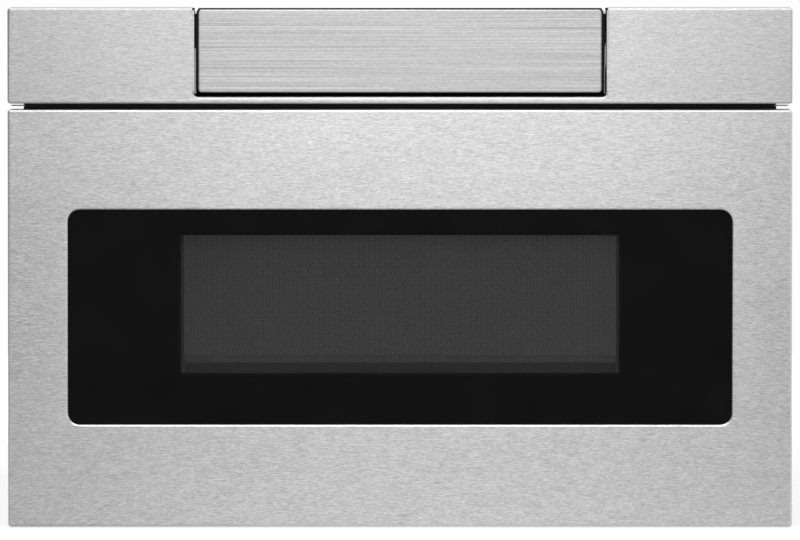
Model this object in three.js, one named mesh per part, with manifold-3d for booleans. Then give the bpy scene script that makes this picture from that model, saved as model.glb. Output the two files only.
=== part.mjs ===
// Built-in microwave drawer: a steel chassis that stands on a cabinet shelf, a drawer that a motor drives
// out on racks and three-member slides, and a control module that tips forward out of the top panel.
// Millimetres. +X is to the right of someone facing the front, +Y goes back into the cabinet, +Z is up.
// The origin is the centre of the base plate's underside, where the unit stands on its shelf.
import * as THREE from "three";
import { mergeVertices } from "three/addons/utils/BufferGeometryUtils.js";
import Module from "manifold-3d";

const wasm = await Module();
wasm.setup();

// ---------------------------------------------------------------- driving dimensions

const frontWidth = 606.4; // drawer front and top panel, side to side
const doorHeight = 323;
const doorOverlap = 13; // how far the drawer front hangs below the shelf
const ventGap = 4.6; // air slot between the drawer front and the top panel
const panelHeight = 74;
const frontThickness = 29; // drawer front's face to the cabinet's face

const frontOverlap = 25.2; // how far the fronts reach past the chassis on each side
const chassisDepth = 565;
const chassisHeight = 370;

const sheet = 1.2; // folded steel
const casing = 1; // outer side panels and top cover
const edgeRadius = 1.6; // bent edges of the stainless fronts
const cornerRadius = 2.2; // corners of the stainless fronts
const running = 0.3; // clearance between pieces that slide, turn or drop in
const slack = 0.2; // radial clearance of gears and bushes on a shaft

const driveSpace = 47; // between the oven cavity and each side panel, for slides and racks
const cavityHeight = 192;
const cavityDepth = 442.5;
const cavityFloor = 64; // height of the oven cavity's floor above the shelf

const drawerTravel = 385;
const tubClearance = 10; // between the tub and the cavity on each side
const tubDepth = 435;
const tubHeight = 180;
const trayThickness = 6;

const glassWidth = 513.4; // the cut-out that shows the black glass
const glassHeight = 166.4;
const glassBottom = 66.2;
const glassCorner = 9;
const glassThickness = 3.8;
const windowWidth = 338.4; // the see-through part of the glass
const windowHeight = 106.8;
const windowBottom = 106;

const fasciaWidth = 311.8; // front of the control module
const fasciaHeight = 64.4;
const fasciaGap = 3.5; // open strip beside and below the fascia
const notchWeb = 5.1; // strip of the top panel left under the module's recess
const notchCorner = 4;
const fasciaCorner = 2.7;
const keySlope = 28.4; // degrees: fall of the key glass towards the back when shut
const keyLength = 48.4;
const keyThickness = 2.4;

const domeSize = 200; // stirrer's dome on the cavity's ceiling
const domeHeight = 30;
const domeSetback = 212.5; // dome's centre behind the cabinet's face
const guideWidth = 80; // waveguide between the magnetron and the dome
const magnetronWidth = 88;
const magnetronHeight = 82;
const magnetronSetback = 55; // magnetron's axis behind the cavity
const blowerX = 160;
const blowerDepth = 81;
const wheelRadius = 42;
const transformerX = -160;
const capacitorX = -45;
const powerBoardX = -175;
const lampSetback = 360; // lamp behind the cabinet's face
const lampHeight = 215;
const glandX = -205; // where the cord leaves the rear panel
const glandDrop = 45; // below the top cover
const glandRadius = 8;

const toothModule = 3; // racks and their pinions
const pinionTeeth = 12;
const gearModule = 1.5; // shaft gear and motor pinion
const shaftGearTeeth = 22;
const motorPinionTeeth = 12;
const backlash = 0.5;
const shaftRadius = 5;
const shaftHeight = 42;
const shaftFromFrame = 47.5; // shaft axis behind the cabinet's face

// ---------------------------------------------------------------- places worked out from them

const frameBack = -chassisDepth / 2; // the cabinet's face
const frameThickness = 1.5;
const frameFront = frameBack - frameThickness;
const faceY = frameBack - frontThickness;
const rear = chassisDepth / 2;
const sideX = frontWidth / 2 - frontOverlap;
const innerX = sideX - casing; // inside face of the side panels
const roofZ = chassisHeight - casing;

const doorBottom = -doorOverlap;
const doorTop = doorBottom + doorHeight;
const panelBottom = doorTop + ventGap;
const panelTop = panelBottom + panelHeight;
const faceX = frontWidth / 2;
const skinBack = frameFront - 5.5; // back edge of the drawer front's folded sides

const cavityX = innerX - driveSpace;
const cavityCeiling = cavityFloor + cavityHeight;
const cavityBack = frameBack + cavityDepth;

const chokeOuter = cavityX + 22; // microwave choke: a channel round the cavity's mouth
const chokeInner = cavityX + 3;
const chokeFront = skinBack - 12;
const plateBack = chokeFront + 1.5; // back face of the drawer front's inner sheet

const tubX = cavityX - tubClearance;
const tubFloor = cavityFloor + 3;
const tubBack = plateBack + tubDepth;
const tubTop = tubFloor + sheet + tubHeight;

const armX = innerX - 15; // inner face of the drawer's side arms
const armThickness = 2;
const armBottom = 60;
const armTop = 124;
const railLength = 450;
const railHeight = 45;
const railCentre = 105;
const railSheet = 1.6;
const railY = [frameBack + 1.5, frameBack + 1.5 + railLength];

const shaftY = frameBack + shaftFromFrame;
const pinionRadius = (toothModule * pinionTeeth) / 2;
const pitchLine = shaftHeight + pinionRadius;
const rackTop = pitchLine + 12;
const rackX = armX - 8;
const gearX = 50;
const gearWidth = 8;
const motorY = shaftY + (gearModule * (shaftGearTeeth + motorPinionTeeth)) / 2;

const hookX = [armX, armX + 6];
const hookZ = [200, 212];
const hookTip = skinBack + 33;
const plungerY = hookTip - 14;
const switchLow = hookZ[1] + 2.5;

const fasciaBottom = panelBottom + notchWeb + fasciaGap;
const fasciaTop = fasciaBottom + fasciaHeight;
const fasciaDepth = 10;
const pivotY = faceY + 5.5;
const pivotZ = fasciaBottom + 4.4;
const pinRadius = 2.4;
const shellX = fasciaWidth / 2 - sheet - 0.2;
const notchX = fasciaWidth / 2 + fasciaGap;
const cheekX = notchX + 1.5;
const cheekThickness = 2.5;
const cradleFloor = panelBottom + 1.9;
const cradleBack = pivotY + 55.5;

const domeX = domeSize / 2;
const domeMiddle = frameBack + domeSetback;
const domeY = [domeMiddle - domeX, domeMiddle + domeX];
const domeTop = cavityCeiling + sheet + domeHeight;
const guideX = guideWidth / 2;
const guideZ = [cavityCeiling + sheet + running, domeTop - 2];
const magnetronY = cavityBack + magnetronSetback;
const magnetronTop = guideZ[0] - running;

const blowerZ = magnetronTop - magnetronHeight / 2;
const blowerY = [rear - sheet - running - blowerDepth, rear - sheet - running];

// ---------------------------------------------------------------- materials

const material = (color, roughness, metalness) =>
  new THREE.MeshStandardMaterial({ color, roughness, metalness });
const stainless = material(0xc6c6c6, 0.35, 1);
const galvanised = material(0xaeb2b4, 0.45, 1);
const blackSteel = material(0x1a1a1a, 0.5, 0.3);
const blackPlastic = material(0x141414, 0.45, 0);
const blackGlass = material(0x101010, 0.05, 0);
const clearGlass = material(0x8c9494, 0.05, 0);
const screenGrey = material(0x4a4a4a, 0.5, 0.4);
const cavityPaint = material(0x9a9b98, 0.5, 0.1);
const ceramic = material(0xe6e4dd, 0.3, 0);
const gearPlastic = material(0xdedbd0, 0.5, 0);
const brightSteel = material(0xb9bcbf, 0.3, 1);
const copper = material(0xa5562c, 0.4, 0.8);
const boardGreen = material(0x1f5a35, 0.6, 0);
const mica = material(0xcfc9b8, 0.7, 0);

// ---------------------------------------------------------------- building blocks

const root = new THREE.Group();

// A closed geometry as a solid that can be joined and cut.
function solidOf(geometry) {
  const bare = new THREE.BufferGeometry();
  bare.setAttribute("position", geometry.getAttribute("position"));
  if (geometry.index) bare.setIndex(geometry.index);
  const merged = mergeVertices(bare, 1e-4);
  return new wasm.Manifold(
    new wasm.Mesh({
      numProp: 3,
      vertProperties: new Float32Array(merged.attributes.position.array),
      triVerts: new Uint32Array(merged.index.array),
    }),
  );
}

function add(name, solid, finish) {
  const { vertProperties, triVerts } = solid.getMesh();
  const geometry = new THREE.BufferGeometry();
  geometry.setAttribute("position", new THREE.BufferAttribute(vertProperties, 3));
  geometry.setIndex(new THREE.BufferAttribute(triVerts, 1));
  geometry.computeVertexNormals();
  const mesh = new THREE.Mesh(geometry, finish);
  mesh.name = name;
  root.add(mesh);
}

const join = (...solids) => solids.flat().reduce((whole, piece) => whole.add(piece));
const cut = (solid, ...tools) => tools.flat().reduce((rest, tool) => rest.subtract(tool), solid);

// A box between two limits on each axis, in any order.
function box(x, y, z) {
  const low = [Math.min(...x), Math.min(...y), Math.min(...z)];
  const high = [Math.max(...x), Math.max(...y), Math.max(...z)];
  const size = high.map((value, axis) => value - low[axis]);
  const middle = high.map((value, axis) => (value + low[axis]) / 2);
  return solidOf(new THREE.BoxGeometry(...size).translate(...middle));
}

const vectors = (points) => points.map(([a, b]) => new THREE.Vector2(a, b));

function outline(points, hole) {
  const shape = new THREE.Shape(vectors(points));
  if (hole) shape.holes.push(new THREE.Path(vectors(hole)));
  return shape;
}

// Points along an arc, both ends included.
const arc = (a, b, radius, from, to, steps) =>
  Array.from({ length: steps + 1 }, (_, i) => {
    const angle = from + ((to - from) * i) / steps;
    return [a + radius * Math.cos(angle), b + radius * Math.sin(angle)];
  });

// The corner points of a rectangle with all four corners rounded.
function roundedRectangle([left, right], [low, high], radius, steps = 4) {
  const corners = [
    [right - radius, low + radius],
    [right - radius, high - radius],
    [left + radius, high - radius],
    [left + radius, low + radius],
  ];
  return corners.flatMap(([a, b], turn) =>
    arc(a, b, radius, ((turn - 1) * Math.PI) / 2, (turn * Math.PI) / 2, steps),
  );
}

// For each direction of extrusion, the part's axes along the shape's x, the shape's y and the extrusion.
const AXES = {
  x: [[0, 1, 0], [0, 0, 1], [1, 0, 0]],
  y: [[1, 0, 0], [0, 0, 1], [0, -1, 0]],
  z: [[1, 0, 0], [0, 1, 0], [0, 0, 1]],
};

// Extrudes a shape along an axis between two places. The shape lies in YZ for x, XZ for y and XY for z.
function prism(axis, shape, [from, to], bevel = { bevelEnabled: false }) {
  const geometry = new THREE.ExtrudeGeometry(shape, { depth: Math.abs(to - from), ...bevel });
  const basis = AXES[axis].map((direction) => new THREE.Vector3(...direction));
  geometry.applyMatrix4(new THREE.Matrix4().makeBasis(...basis));
  const start = axis === "y" ? Math.max(from, to) : Math.min(from, to);
  const shift = { x: [start, 0, 0], y: [0, start, 0], z: [0, 0, start] }[axis];
  return solidOf(geometry.translate(...shift));
}

// A round bar along an axis, centred on (a, b) in the plane across it.
function rod(axis, [a, b], radius, limits, sides = 16) {
  const circle = arc(a, b, radius, 0, 2 * Math.PI * (1 - 1 / sides), sides - 1);
  return prism(axis, outline(circle), limits);
}

// An upright plate from the front's face back to `back`, with the edges of its face rounded over.
function softPlate(shape, back, radius) {
  const bevel = {
    bevelEnabled: true,
    bevelThickness: radius,
    bevelSize: radius,
    bevelOffset: -radius,
    bevelSegments: 3,
  };
  const block = prism("y", shape, [faceY + radius, back + 5], bevel);
  return block.intersect(box([-frontWidth, frontWidth], [faceY - 1, back], [-frontWidth, frontWidth]));
}

// Repeats a piece at an even pitch, centred on zero.
const row = (count, pitch, make) =>
  Array.from({ length: count }, (_, i) => make((i - (count - 1) / 2) * pitch));

// Each side of the unit with the sign of its x.
const sides = [
  ["left", -1],
  ["right", 1],
];
const onBothSides = (make) => sides.map(([, s]) => make(s));

// A span on one side of the unit, measured outwards from the middle.
const span = (s, from, to) => [s * from, s * to];

// The outline of a spur gear with involute flanks; `phase` turns its first tooth from the first axis.
function gearOutline(teeth, pitch, [centreA, centreB], phase = 0) {
  const radius = (pitch * teeth) / 2;
  const base = radius * Math.cos(THREE.MathUtils.degToRad(20));
  const tip = radius + 0.85 * pitch;
  const foot = radius - 1.15 * pitch;
  const involute = (r) => {
    const angle = Math.acos(Math.min(1, base / r));
    return Math.tan(angle) - angle;
  };
  const halfTooth = Math.PI / (2 * teeth) - backlash / (2 * radius) + involute(radius);
  const flank = pitch > 2 ? [base, (base + tip) / 2, tip] : [base, tip];
  const points = [];
  for (let tooth = 0; tooth < teeth; tooth += 1) {
    const middle = (2 * Math.PI * tooth) / teeth + phase;
    const rise = flank.map((r) => [r, middle - halfTooth + involute(r)]);
    const fall = flank.map((r) => [r, middle + halfTooth - involute(r)]).reverse();
    points.push([foot, middle - halfTooth], ...rise, ...fall, [foot, middle + halfTooth]);
  }
  return outline(points.map(([r, a]) => [centreA + r * Math.cos(a), centreB + r * Math.sin(a)]));
}

// ---------------------------------------------------------------- chassis sheet metal

function basePlate() {
  const floor = box([-innerX, innerX], [frameBack, rear], [0, sheet]);
  const upstands = onBothSides((s) =>
    box(span(s, innerX - sheet, innerX), [frameBack + 1, rear - 2 * sheet], [sheet / 2, 14]),
  );
  const vents = [-150, 150].flatMap((x) =>
    row(7, 14, (dy) => box([x - 40, x + 40], [frameBack + 117 + dy, frameBack + 123 + dy], [-1, 2])),
  );
  return cut(join(floor, upstands), vents);
}

function sidePanel(s) {
  const panel = box(span(s, innerX, sideX), [frameBack, rear], [0, roofZ]);
  const vents = row(9, 12, (dz) =>
    box(span(s, innerX - 1, sideX + 1), [rear - 110, rear - 40], [216 + dz, 220 + dz]),
  );
  return cut(panel, vents);
}

function topCover() {
  const cover = box([-sideX, sideX], [frameBack, rear], [roofZ, chassisHeight]);
  const flanges = onBothSides((s) =>
    box(
      span(s, innerX - casing, innerX),
      [frameBack + 1, rear - 2 * sheet],
      [roofZ - 12, roofZ + casing / 2],
    ),
  );
  const beads = row(4, 120, (dx) =>
    box([dx - 5, dx + 5], [frameBack + 90, rear - 60], [chassisHeight - casing / 2, chassisHeight + 1.2]),
  );
  const notch = cheekX + cheekThickness + running;
  const recess = box([-notch, notch], [frameBack - 1, cradleBack], [roofZ - 1, chassisHeight + 2]);
  return cut(join(cover, flanges, beads), recess);
}

const glandPlace = [glandX, chassisHeight - glandDrop];

function rearPanel() {
  const panel = box([-innerX, innerX], [rear - sheet, rear], [sheet, roofZ]);
  const through = [rear - 5, rear + 1];
  const intake = row(7, 11, (dx) =>
    box([blowerX + dx - 3, blowerX + dx + 3], through, [blowerZ - 30, blowerZ + 30]),
  );
  const outlet = row(9, 14, (dx) => box([dx - 153, dx - 147], through, [60, 130]));
  return cut(panel, intake, outlet, rod("y", glandPlace, glandRadius + running, through));
}

function cordGland() {
  const collar = rod("y", glandPlace, glandRadius, [rear - 9, rear + 2]);
  const flange = rod("y", glandPlace, glandRadius + 4, [rear, rear + 3]);
  const nut = rod("y", glandPlace, glandRadius + 3, [rear - 9, rear - sheet - running], 6);
  const bore = rod("y", glandPlace, 4.2, [rear - 12, rear + 5]);
  return cut(join(collar, flange, nut), bore);
}

// The black frame behind the fronts: its ears screw to the cabinet, and the drawer passes through it.
const frameX = 291.6;
const frameTop = panelTop - 4;
const screwX = frameX - 6.8;
const screwHeights = [40, 190, 340];

function frontFrame() {
  const through = [frameFront - 1, frameBack + 1];
  const plate = box([-frameX, frameX], [frameFront, frameBack], [1, frameTop]);
  const mouth = box([-cavityX, cavityX], through, [cavityFloor, cavityCeiling]);
  const recessX = cheekX + cheekThickness + running;
  const recess = box([-recessX, recessX], through, [cradleFloor - running, frameTop + 1]);
  const armSlots = onBothSides((s) =>
    box(
      span(s, chokeOuter + 1, innerX + running),
      through,
      [pitchLine - 5.5, railCentre + railHeight / 2 + 2.5],
    ),
  );
  const hookSlots = onBothSides((s) =>
    box(span(s, hookX[0] - 3, hookX[1] + 3), through, [hookZ[0] - 3.5, hookZ[1] + 4]),
  );
  const exhaust = row(13, 32, (dx) => box([dx - 12, dx + 12], through, [287, 297]));
  const screwHoles = screwHeights.flatMap((z) =>
    onBothSides((s) => rod("y", [s * screwX, z], 2.2, through, 12)),
  );
  // A scored line marks each ear off from the edge that is welded to the side panel.
  const scores = onBothSides((s) =>
    box(span(s, sideX + running, sideX + 1), [frameBack - 0.4, frameBack + 1], [0, frameTop + 1]),
  );
  return cut(plate, mouth, recess, armSlots, hookSlots, exhaust, screwHoles, scores);
}

// ---------------------------------------------------------------- oven cavity and microwave feed

const lampPlace = [frameBack + lampSetback, lampHeight];

function ovenCavity() {
  const outer = box(
    [-cavityX - sheet, cavityX + sheet],
    [frameBack, cavityBack + sheet],
    [cavityFloor - sheet, cavityCeiling + sheet],
  );
  const inside = box([-cavityX, cavityX], [frameBack - 1, cavityBack], [cavityFloor, cavityCeiling]);
  const feed = box(
    [-domeX + 6, domeX - 6],
    [domeY[0] + 6, domeY[1] - 6],
    [cavityCeiling - 1, cavityCeiling + 3],
  );
  const lampHole = rod("x", lampPlace, 11, [cavityX - 2, cavityX + 3]);
  const breather = row(6, 16, (dx) =>
    box([dx - 152, dx - 148], [cavityBack - 2, cavityBack + 3], [210, 240]),
  );
  return cut(outer, inside, feed, lampHole, breather);
}

function ovenLamp() {
  const seat = cavityX + sheet;
  const [y, z] = lampPlace;
  const plate = box([seat, seat + sheet], [y - 20, y + 20], [z - 16, z + 16]);
  const socket = rod("x", lampPlace, 9, [seat + sheet / 2, seat + 22]);
  const bulb = rod("x", lampPlace, 7, [seat - 6, seat + 4]);
  return join(plate, socket, bulb);
}

function stirrerDome() {
  const base = cavityCeiling + sheet;
  const hood = box([-domeX - sheet, domeX + sheet], [domeY[0] - sheet, domeY[1] + sheet], [base, domeTop]);
  const inside = box([-domeX, domeX], domeY, [base - 1, domeTop - sheet]);
  const skirt = box([-domeX - 10, domeX + 10], [domeY[0] - 10, domeY[1] + sheet], [base, base + sheet]);
  const port = box([-guideX, guideX], [domeY[1] - 1, domeY[1] + 3], [base + 3, domeTop - 4]);
  const spindle = rod("z", [0, domeMiddle], 5, [domeTop - 3, domeTop + 1]);
  return cut(join(hood, skirt), inside, port, spindle);
}

function stirrerBlade() {
  const base = cavityCeiling + sheet;
  const hub = rod("z", [0, domeMiddle], 9, [base + 6, base + 18]);
  const spindle = rod("z", [0, domeMiddle], 3, [base + 10, domeTop + 12]);
  const vanes = [0, 1, 2, 3].map((turn) => {
    const vane = new THREE.BoxGeometry(74, 26, 1.6);
    vane.rotateX(THREE.MathUtils.degToRad(18));
    vane.translate(43, 0, 0);
    vane.rotateZ((turn * Math.PI) / 2);
    return solidOf(vane.translate(0, domeMiddle, base + 12));
  });
  return join(hub, spindle, vanes);
}

function stirrerMotor() {
  const seat = domeTop + running;
  const can = rod("z", [0, domeMiddle], 24, [seat, domeTop + 18], 24);
  const ears = box([-32, 32], [domeMiddle - 6, domeMiddle + 6], [seat, seat + 1.5]);
  const bore = rod("z", [0, domeMiddle], 3 + running, [domeTop - 1, domeTop + 13]);
  return cut(join(can, ears), bore);
}

function splatterCover() {
  const plate = roundedRectangle([-domeX - 8, domeX + 8], [domeY[0] - 8, domeY[1] + 8], 12);
  return prism("z", outline(plate), [cavityCeiling - 2.2, cavityCeiling - running]);
}

function waveguide() {
  const back = magnetronY + 35;
  const [low, high] = guideZ;
  const outer = box([-guideX - sheet, guideX + sheet], [domeY[1] + sheet + running, back], guideZ);
  const inside = box([-guideX, guideX], [domeY[1], back - sheet], [low + sheet, high - sheet]);
  return cut(outer, inside, rod("z", [0, magnetronY], 12, [low - 1, low + 3]));
}

// Magnetron: cooling fins round the anode inside a steel yoke, with the antenna up in the waveguide.
function magnetron() {
  const top = magnetronTop;
  const low = top - magnetronHeight;
  const half = magnetronWidth / 2;
  const y = [magnetronY - 24, magnetronY + 24];
  const yoke = cut(
    box([-half, half], y, [low, top]),
    box([-half + 2, half - 2], [y[0] - 1, y[1] + 1], [low + 2, top - 2]),
  );
  const anode = rod("z", [0, magnetronY], 18, [low + 1, top - 1]);
  const fins = row(5, 9, (dz) => {
    const middle = (low + top) / 2 + dz;
    return box([-half + 3, half - 3], [y[0] + 1, y[1] - 1], [middle - 0.5, middle + 0.5]);
  });
  const antenna = rod("z", [0, magnetronY], 8, [top - 1, top + domeHeight / 2]);
  const filter = box([-30, 30], [magnetronY - 22, magnetronY + 22], [low - 30, low + 1]);
  const plug = box([-8, 8], [magnetronY + 21, magnetronY + 32], [low - 22, low - 8]);
  return join(yoke, anode, fins, antenna, filter, plug);
}

const shelfFloor = sheet + running; // where the parts that stand on the base plate begin

function transformer() {
  const [x, y] = [transformerX, magnetronY + 6];
  const core = box([x - 50, x + 50], [y - 26, y + 26], [shelfFloor, 86]);
  const coil = outline(roundedRectangle([x - 42, x + 42], [y - 46, y + 46], 14, 3));
  const coils = [prism("z", coil, [20, 44]), prism("z", coil, [48, 70])];
  const bobbin = box([x - 20, x + 20], [y - 44, y + 44], [40, 60]);
  const foot = box([x - 62, x + 62], [y - 30, y + 30], [shelfFloor, shelfFloor + 2.4]);
  const lugs = [-14, 14].map((dx) => box([x + dx - 3, x + dx + 3], [y - 50, y - 40], [60, 82]));
  return join(core, coils, bobbin, foot, lugs);
}

function capacitor() {
  const [x, y] = [capacitorX, magnetronY + 10];
  const can = outline(roundedRectangle([x - 26, x + 26], [y - 16, y + 16], 15));
  const lugs = [-10, 10].map((dx) => box([x + dx - 3, x + dx + 3], [y - 0.6, y + 0.6], [99, 110]));
  const clamp = box([x - 36, x + 36], [y - 10, y + 10], [shelfFloor, shelfFloor + 1.6]);
  return join(prism("z", can, [shelfFloor, 100]), lugs, clamp);
}

function powerBoard() {
  const [x, y] = [powerBoardX, frameBack + 250];
  const seat = cavityCeiling + sheet + running;
  const top = seat + 9;
  const board = box([x - 48, x + 48], [y - 100, y + 100], [seat + 8, top + 0.6]);
  const posts = [-42, 42].flatMap((dx) =>
    [-94, 94].map((dy) => rod("z", [x + dx, y + dy], 3, [seat, top], 8)),
  );
  const relays = [-70, -40, -10].map((dy) =>
    box([x - 40, x - 18], [y + dy, y + dy + 20], [top, seat + 28]),
  );
  const headers = [30, 52, 74].map((dy) => box([x - 40, x - 14], [y + dy, y + dy + 9], [top, seat + 21]));
  const coil = rod("z", [x + 18, y - 50], 18, [top, seat + 34]);
  const fuse = box([x - 10, x + 24], [y + 6, y + 16], [top, seat + 19]);
  const chip = box([x + 2, x + 30], [y + 48, y + 76], [top, seat + 13]);
  return join(board, posts, relays, headers, coil, fuse, chip);
}

// ---------------------------------------------------------------- cooling blower

const blowerAxis = [blowerX, blowerZ];

// A round fan chamber whose duct leads to the magnetron's fins; `inset` shrinks it by a wall.
function blowerSpace(inset) {
  const y = [blowerY[0] + inset, blowerY[1] - inset];
  const chamber = rod("y", blowerAxis, wheelRadius + 14 - inset, y, 32);
  const end = blowerX - 78 - 4 * inset;
  const duct = box([end, blowerX], y, [blowerZ - 46 + inset, blowerZ + 18 - inset]);
  return join(chamber, duct);
}

function blowerCase() {
  const intake = rod("y", blowerAxis, wheelRadius - 8, [blowerY[1] - 4, blowerY[1] + 1], 24);
  const spindle = rod("y", blowerAxis, 5, [blowerY[0] - 1, blowerY[0] + 3]);
  return cut(blowerSpace(0), blowerSpace(1.6), intake, spindle);
}

function blowerWheel() {
  const [near, far] = [blowerY[0] + 8, blowerY[1] - 12];
  const disc = rod("y", blowerAxis, wheelRadius, [near, near + 1.6], 24);
  const hub = rod("y", blowerAxis, 8, [near, near + 14]);
  const spindle = rod("y", blowerAxis, 3, [blowerY[0] - 14, near + 6], 12);
  const rim = cut(
    rod("y", blowerAxis, wheelRadius, [far - 2, far], 24),
    rod("y", blowerAxis, wheelRadius - 5, [far - 3, far + 1], 24),
  );
  const count = 14;
  const blades = Array.from({ length: count }, (_, i) => {
    const angle = (2 * Math.PI * i) / count;
    const reach = wheelRadius - 4.5;
    const blade = new THREE.BoxGeometry(7, far - near - 1, 1).rotateY(-angle - 0.5);
    blade.translate(blowerX + reach * Math.cos(angle), (near + far) / 2, blowerZ + reach * Math.sin(angle));
    return solidOf(blade);
  });
  return join(disc, hub, spindle, rim, blades);
}

function blowerMotor() {
  const seat = blowerY[0] - running;
  const can = rod("y", blowerAxis, 22, [seat - 24, seat], 24);
  const stack = box([blowerX - 28, blowerX + 28], [seat - 18, seat - 6], [blowerZ - 28, blowerZ + 28]);
  const ears = box([blowerX - 42, blowerX + 42], [seat - 2, seat], [blowerZ - 7, blowerZ + 7]);
  return cut(join(can, stack, ears), rod("y", blowerAxis, 3 + running, [seat - 16, seat + 1], 12));
}

// ---------------------------------------------------------------- drawer front

function doorSkin() {
  const cutOutX = [-glassWidth / 2, glassWidth / 2];
  const cutOutZ = [glassBottom, glassBottom + glassHeight];
  const face = outline(
    roundedRectangle([-faceX, faceX], [doorBottom, doorTop], cornerRadius),
    roundedRectangle(cutOutX, cutOutZ, glassCorner, 6),
  );
  const hollow = box(
    [-faceX + sheet, faceX - sheet],
    [faceY + sheet, 0],
    [doorBottom + sheet, doorTop - sheet],
  );
  return cut(softPlate(face, skinBack, edgeRadius), hollow);
}

const glassMargin = 4.5; // how far the glass reaches behind the skin
const glassY = [faceY + sheet + 0.1, faceY + sheet + 0.1 + glassThickness];
const glassSpanX = [-glassWidth / 2 - glassMargin, glassWidth / 2 + glassMargin];
const glassSpanZ = [glassBottom - glassMargin, glassBottom + glassHeight + glassMargin];

const doorGlass = () => prism("y", outline(roundedRectangle(glassSpanX, glassSpanZ, 6)), glassY);

// The hole for the view in, through what holds the glass.
const aperture = box(
  [-windowWidth / 2 - 3, windowWidth / 2 + 3],
  [glassY[1] - 1, plateBack + 1],
  [windowBottom - 3, windowBottom + windowHeight + 3],
);

function glassRetainer() {
  const plate = outline(roundedRectangle(glassSpanX, glassSpanZ, 6));
  return cut(prism("y", plate, [glassY[1], chokeFront - running]), aperture);
}

// A block round the cavity's mouth that reaches as far above and below it as to its sides.
function aroundMouth(reach, y) {
  const more = reach - cavityX;
  return box([-reach, reach], y, [cavityFloor - more, cavityCeiling + more]);
}

// The drawer front's steel inner frame: a plate folded forward into the choke's channel.
function chokeFrame() {
  const inset = sheet + running;
  const plate = box(
    [-faceX + inset, faceX - inset],
    [skinBack - 1.5, skinBack],
    [doorBottom + inset, doorTop - inset],
  );
  const channel = aroundMouth(chokeOuter, [chokeFront, skinBack]);
  const groove = cut(
    aroundMouth(chokeOuter - 1.5, [plateBack, skinBack + 1]),
    aroundMouth(chokeInner, [plateBack - 1, skinBack + 2]),
  );
  const centre = aroundMouth(chokeInner - 1.5, [chokeFront - 1, skinBack + 1]);
  return cut(join(plate, channel), groove, centre);
}

// The inner sheet, perforated over the window: it closes the front of the cooking space inside the choke.
const windowScreen = () => aroundMouth(chokeInner - 1.5, [chokeFront, plateBack]);

function innerWindow() {
  const margin = 20;
  const x = windowWidth / 2 + margin;
  const z = [windowBottom - margin, windowBottom + windowHeight + margin];
  return prism("y", outline(roundedRectangle([-x, x], z, 5)), [plateBack, plateBack + 2]);
}

function chokeCover() {
  const ring = (reach, corner) => {
    const more = reach - cavityX;
    return roundedRectangle([-reach, reach], [cavityFloor - more, cavityCeiling + more], corner);
  };
  const frame = outline(ring(chokeOuter + 0.5, 6), ring(chokeInner - 1, 4));
  return prism("y", frame, [skinBack, skinBack + 3.5]);
}

function latchHook(s) {
  const [low, high] = hookZ;
  const base = box(span(s, hookX[0] - 6, hookX[1] + 6), [skinBack, skinBack + 2], [low - 3, high + 3]);
  const blade = outline([
    [skinBack + 1, low],
    [hookTip - 12, low],
    [hookTip - 10, low - 2],
    [hookTip - 5, low - 2],
    [hookTip, low + 4],
    [hookTip, high - 4],
    [hookTip - 6, high],
    [skinBack + 1, high],
  ]);
  return join(base, prism("x", blade, span(s, ...hookX)));
}

// ---------------------------------------------------------------- drawer tub, tray and running gear

function drawerTub() {
  const outerX = tubX + sheet;
  const outer = box([-outerX, outerX], [plateBack, tubBack + sheet], [tubFloor, tubTop]);
  const rim = box([-outerX - 4, outerX + 4], [skinBack + 6, tubBack + sheet + 4], [tubTop - sheet, tubTop]);
  const inside = box([-tubX, tubX], [plateBack - 1, tubBack], [tubFloor + sheet, tubTop + 1]);
  const skids = onBothSides((s) =>
    box(
      span(s, tubX - 30, tubX - 12),
      [tubBack - 40, tubBack - 4],
      [cavityFloor + running, tubFloor + sheet / 2],
    ),
  );
  return cut(join(outer, rim, skids), inside);
}

function ceramicTray() {
  const margin = 0.5;
  const z = tubFloor + sheet;
  const [x, y] = [tubX - margin, [plateBack + 3 + margin, tubBack - margin]];
  const plate = prism("z", outline(roundedRectangle([-x, x], y, 8)), [z, z + trayThickness]);
  const dish = outline(roundedRectangle([-x + 12, x - 12], [y[0] + 12, y[1] - 12], 14));
  return cut(plate, prism("z", dish, [z + trayThickness - 1.5, z + trayThickness + 1]));
}

function drawerArm(s) {
  const plate = box(span(s, armX, armX + armThickness), [skinBack, railY[1]], [armBottom, armTop]);
  const foot = box(span(s, armX, armX + 22), [skinBack, skinBack + 1.5], [armBottom, armTop]);
  return join(plate, foot);
}

// Rack teeth point down; a gap stands over the pinion's upright tooth when the drawer is shut.
function rack(s) {
  const pitch = Math.PI * toothModule;
  const lean = Math.tan(THREE.MathUtils.degToRad(20));
  const tip = pitchLine - 0.7 * toothModule;
  const foot = pitchLine + 1.1 * toothModule;
  const half = pitch / 4 - backlash / 4;
  const wide = half + (foot - pitchLine) * lean;
  const narrow = half - (pitchLine - tip) * lean;
  const first = shaftY - 3.5 * pitch;
  const count = Math.floor((drawerTravel + 50) / pitch);
  const points = [
    [first - pitch / 2, rackTop],
    [first - pitch / 2, foot],
  ];
  for (let tooth = 0; tooth < count; tooth += 1) {
    const y = first + tooth * pitch;
    points.push([y - wide, foot], [y - narrow, tip], [y + narrow, tip], [y + wide, foot]);
  }
  const end = first + (count - 0.5) * pitch;
  points.push([end, foot], [end, rackTop]);
  return prism("x", outline(points), span(s, rackX, armX));
}

// One member of a slide: a channel from its web at one x to the ends of its lips at another.
function slideChannel(s, webX, lipX, half) {
  const z = (reach) => [railCentre - reach, railCentre + reach];
  const inward = Math.sign(lipX - webX);
  const block = box(span(s, webX, lipX), railY, z(half));
  const hollowX = span(s, webX + inward * railSheet, lipX + inward);
  return cut(block, box(hollowX, [railY[0] - 1, railY[1] + 1], z(half - railSheet)));
}

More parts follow.
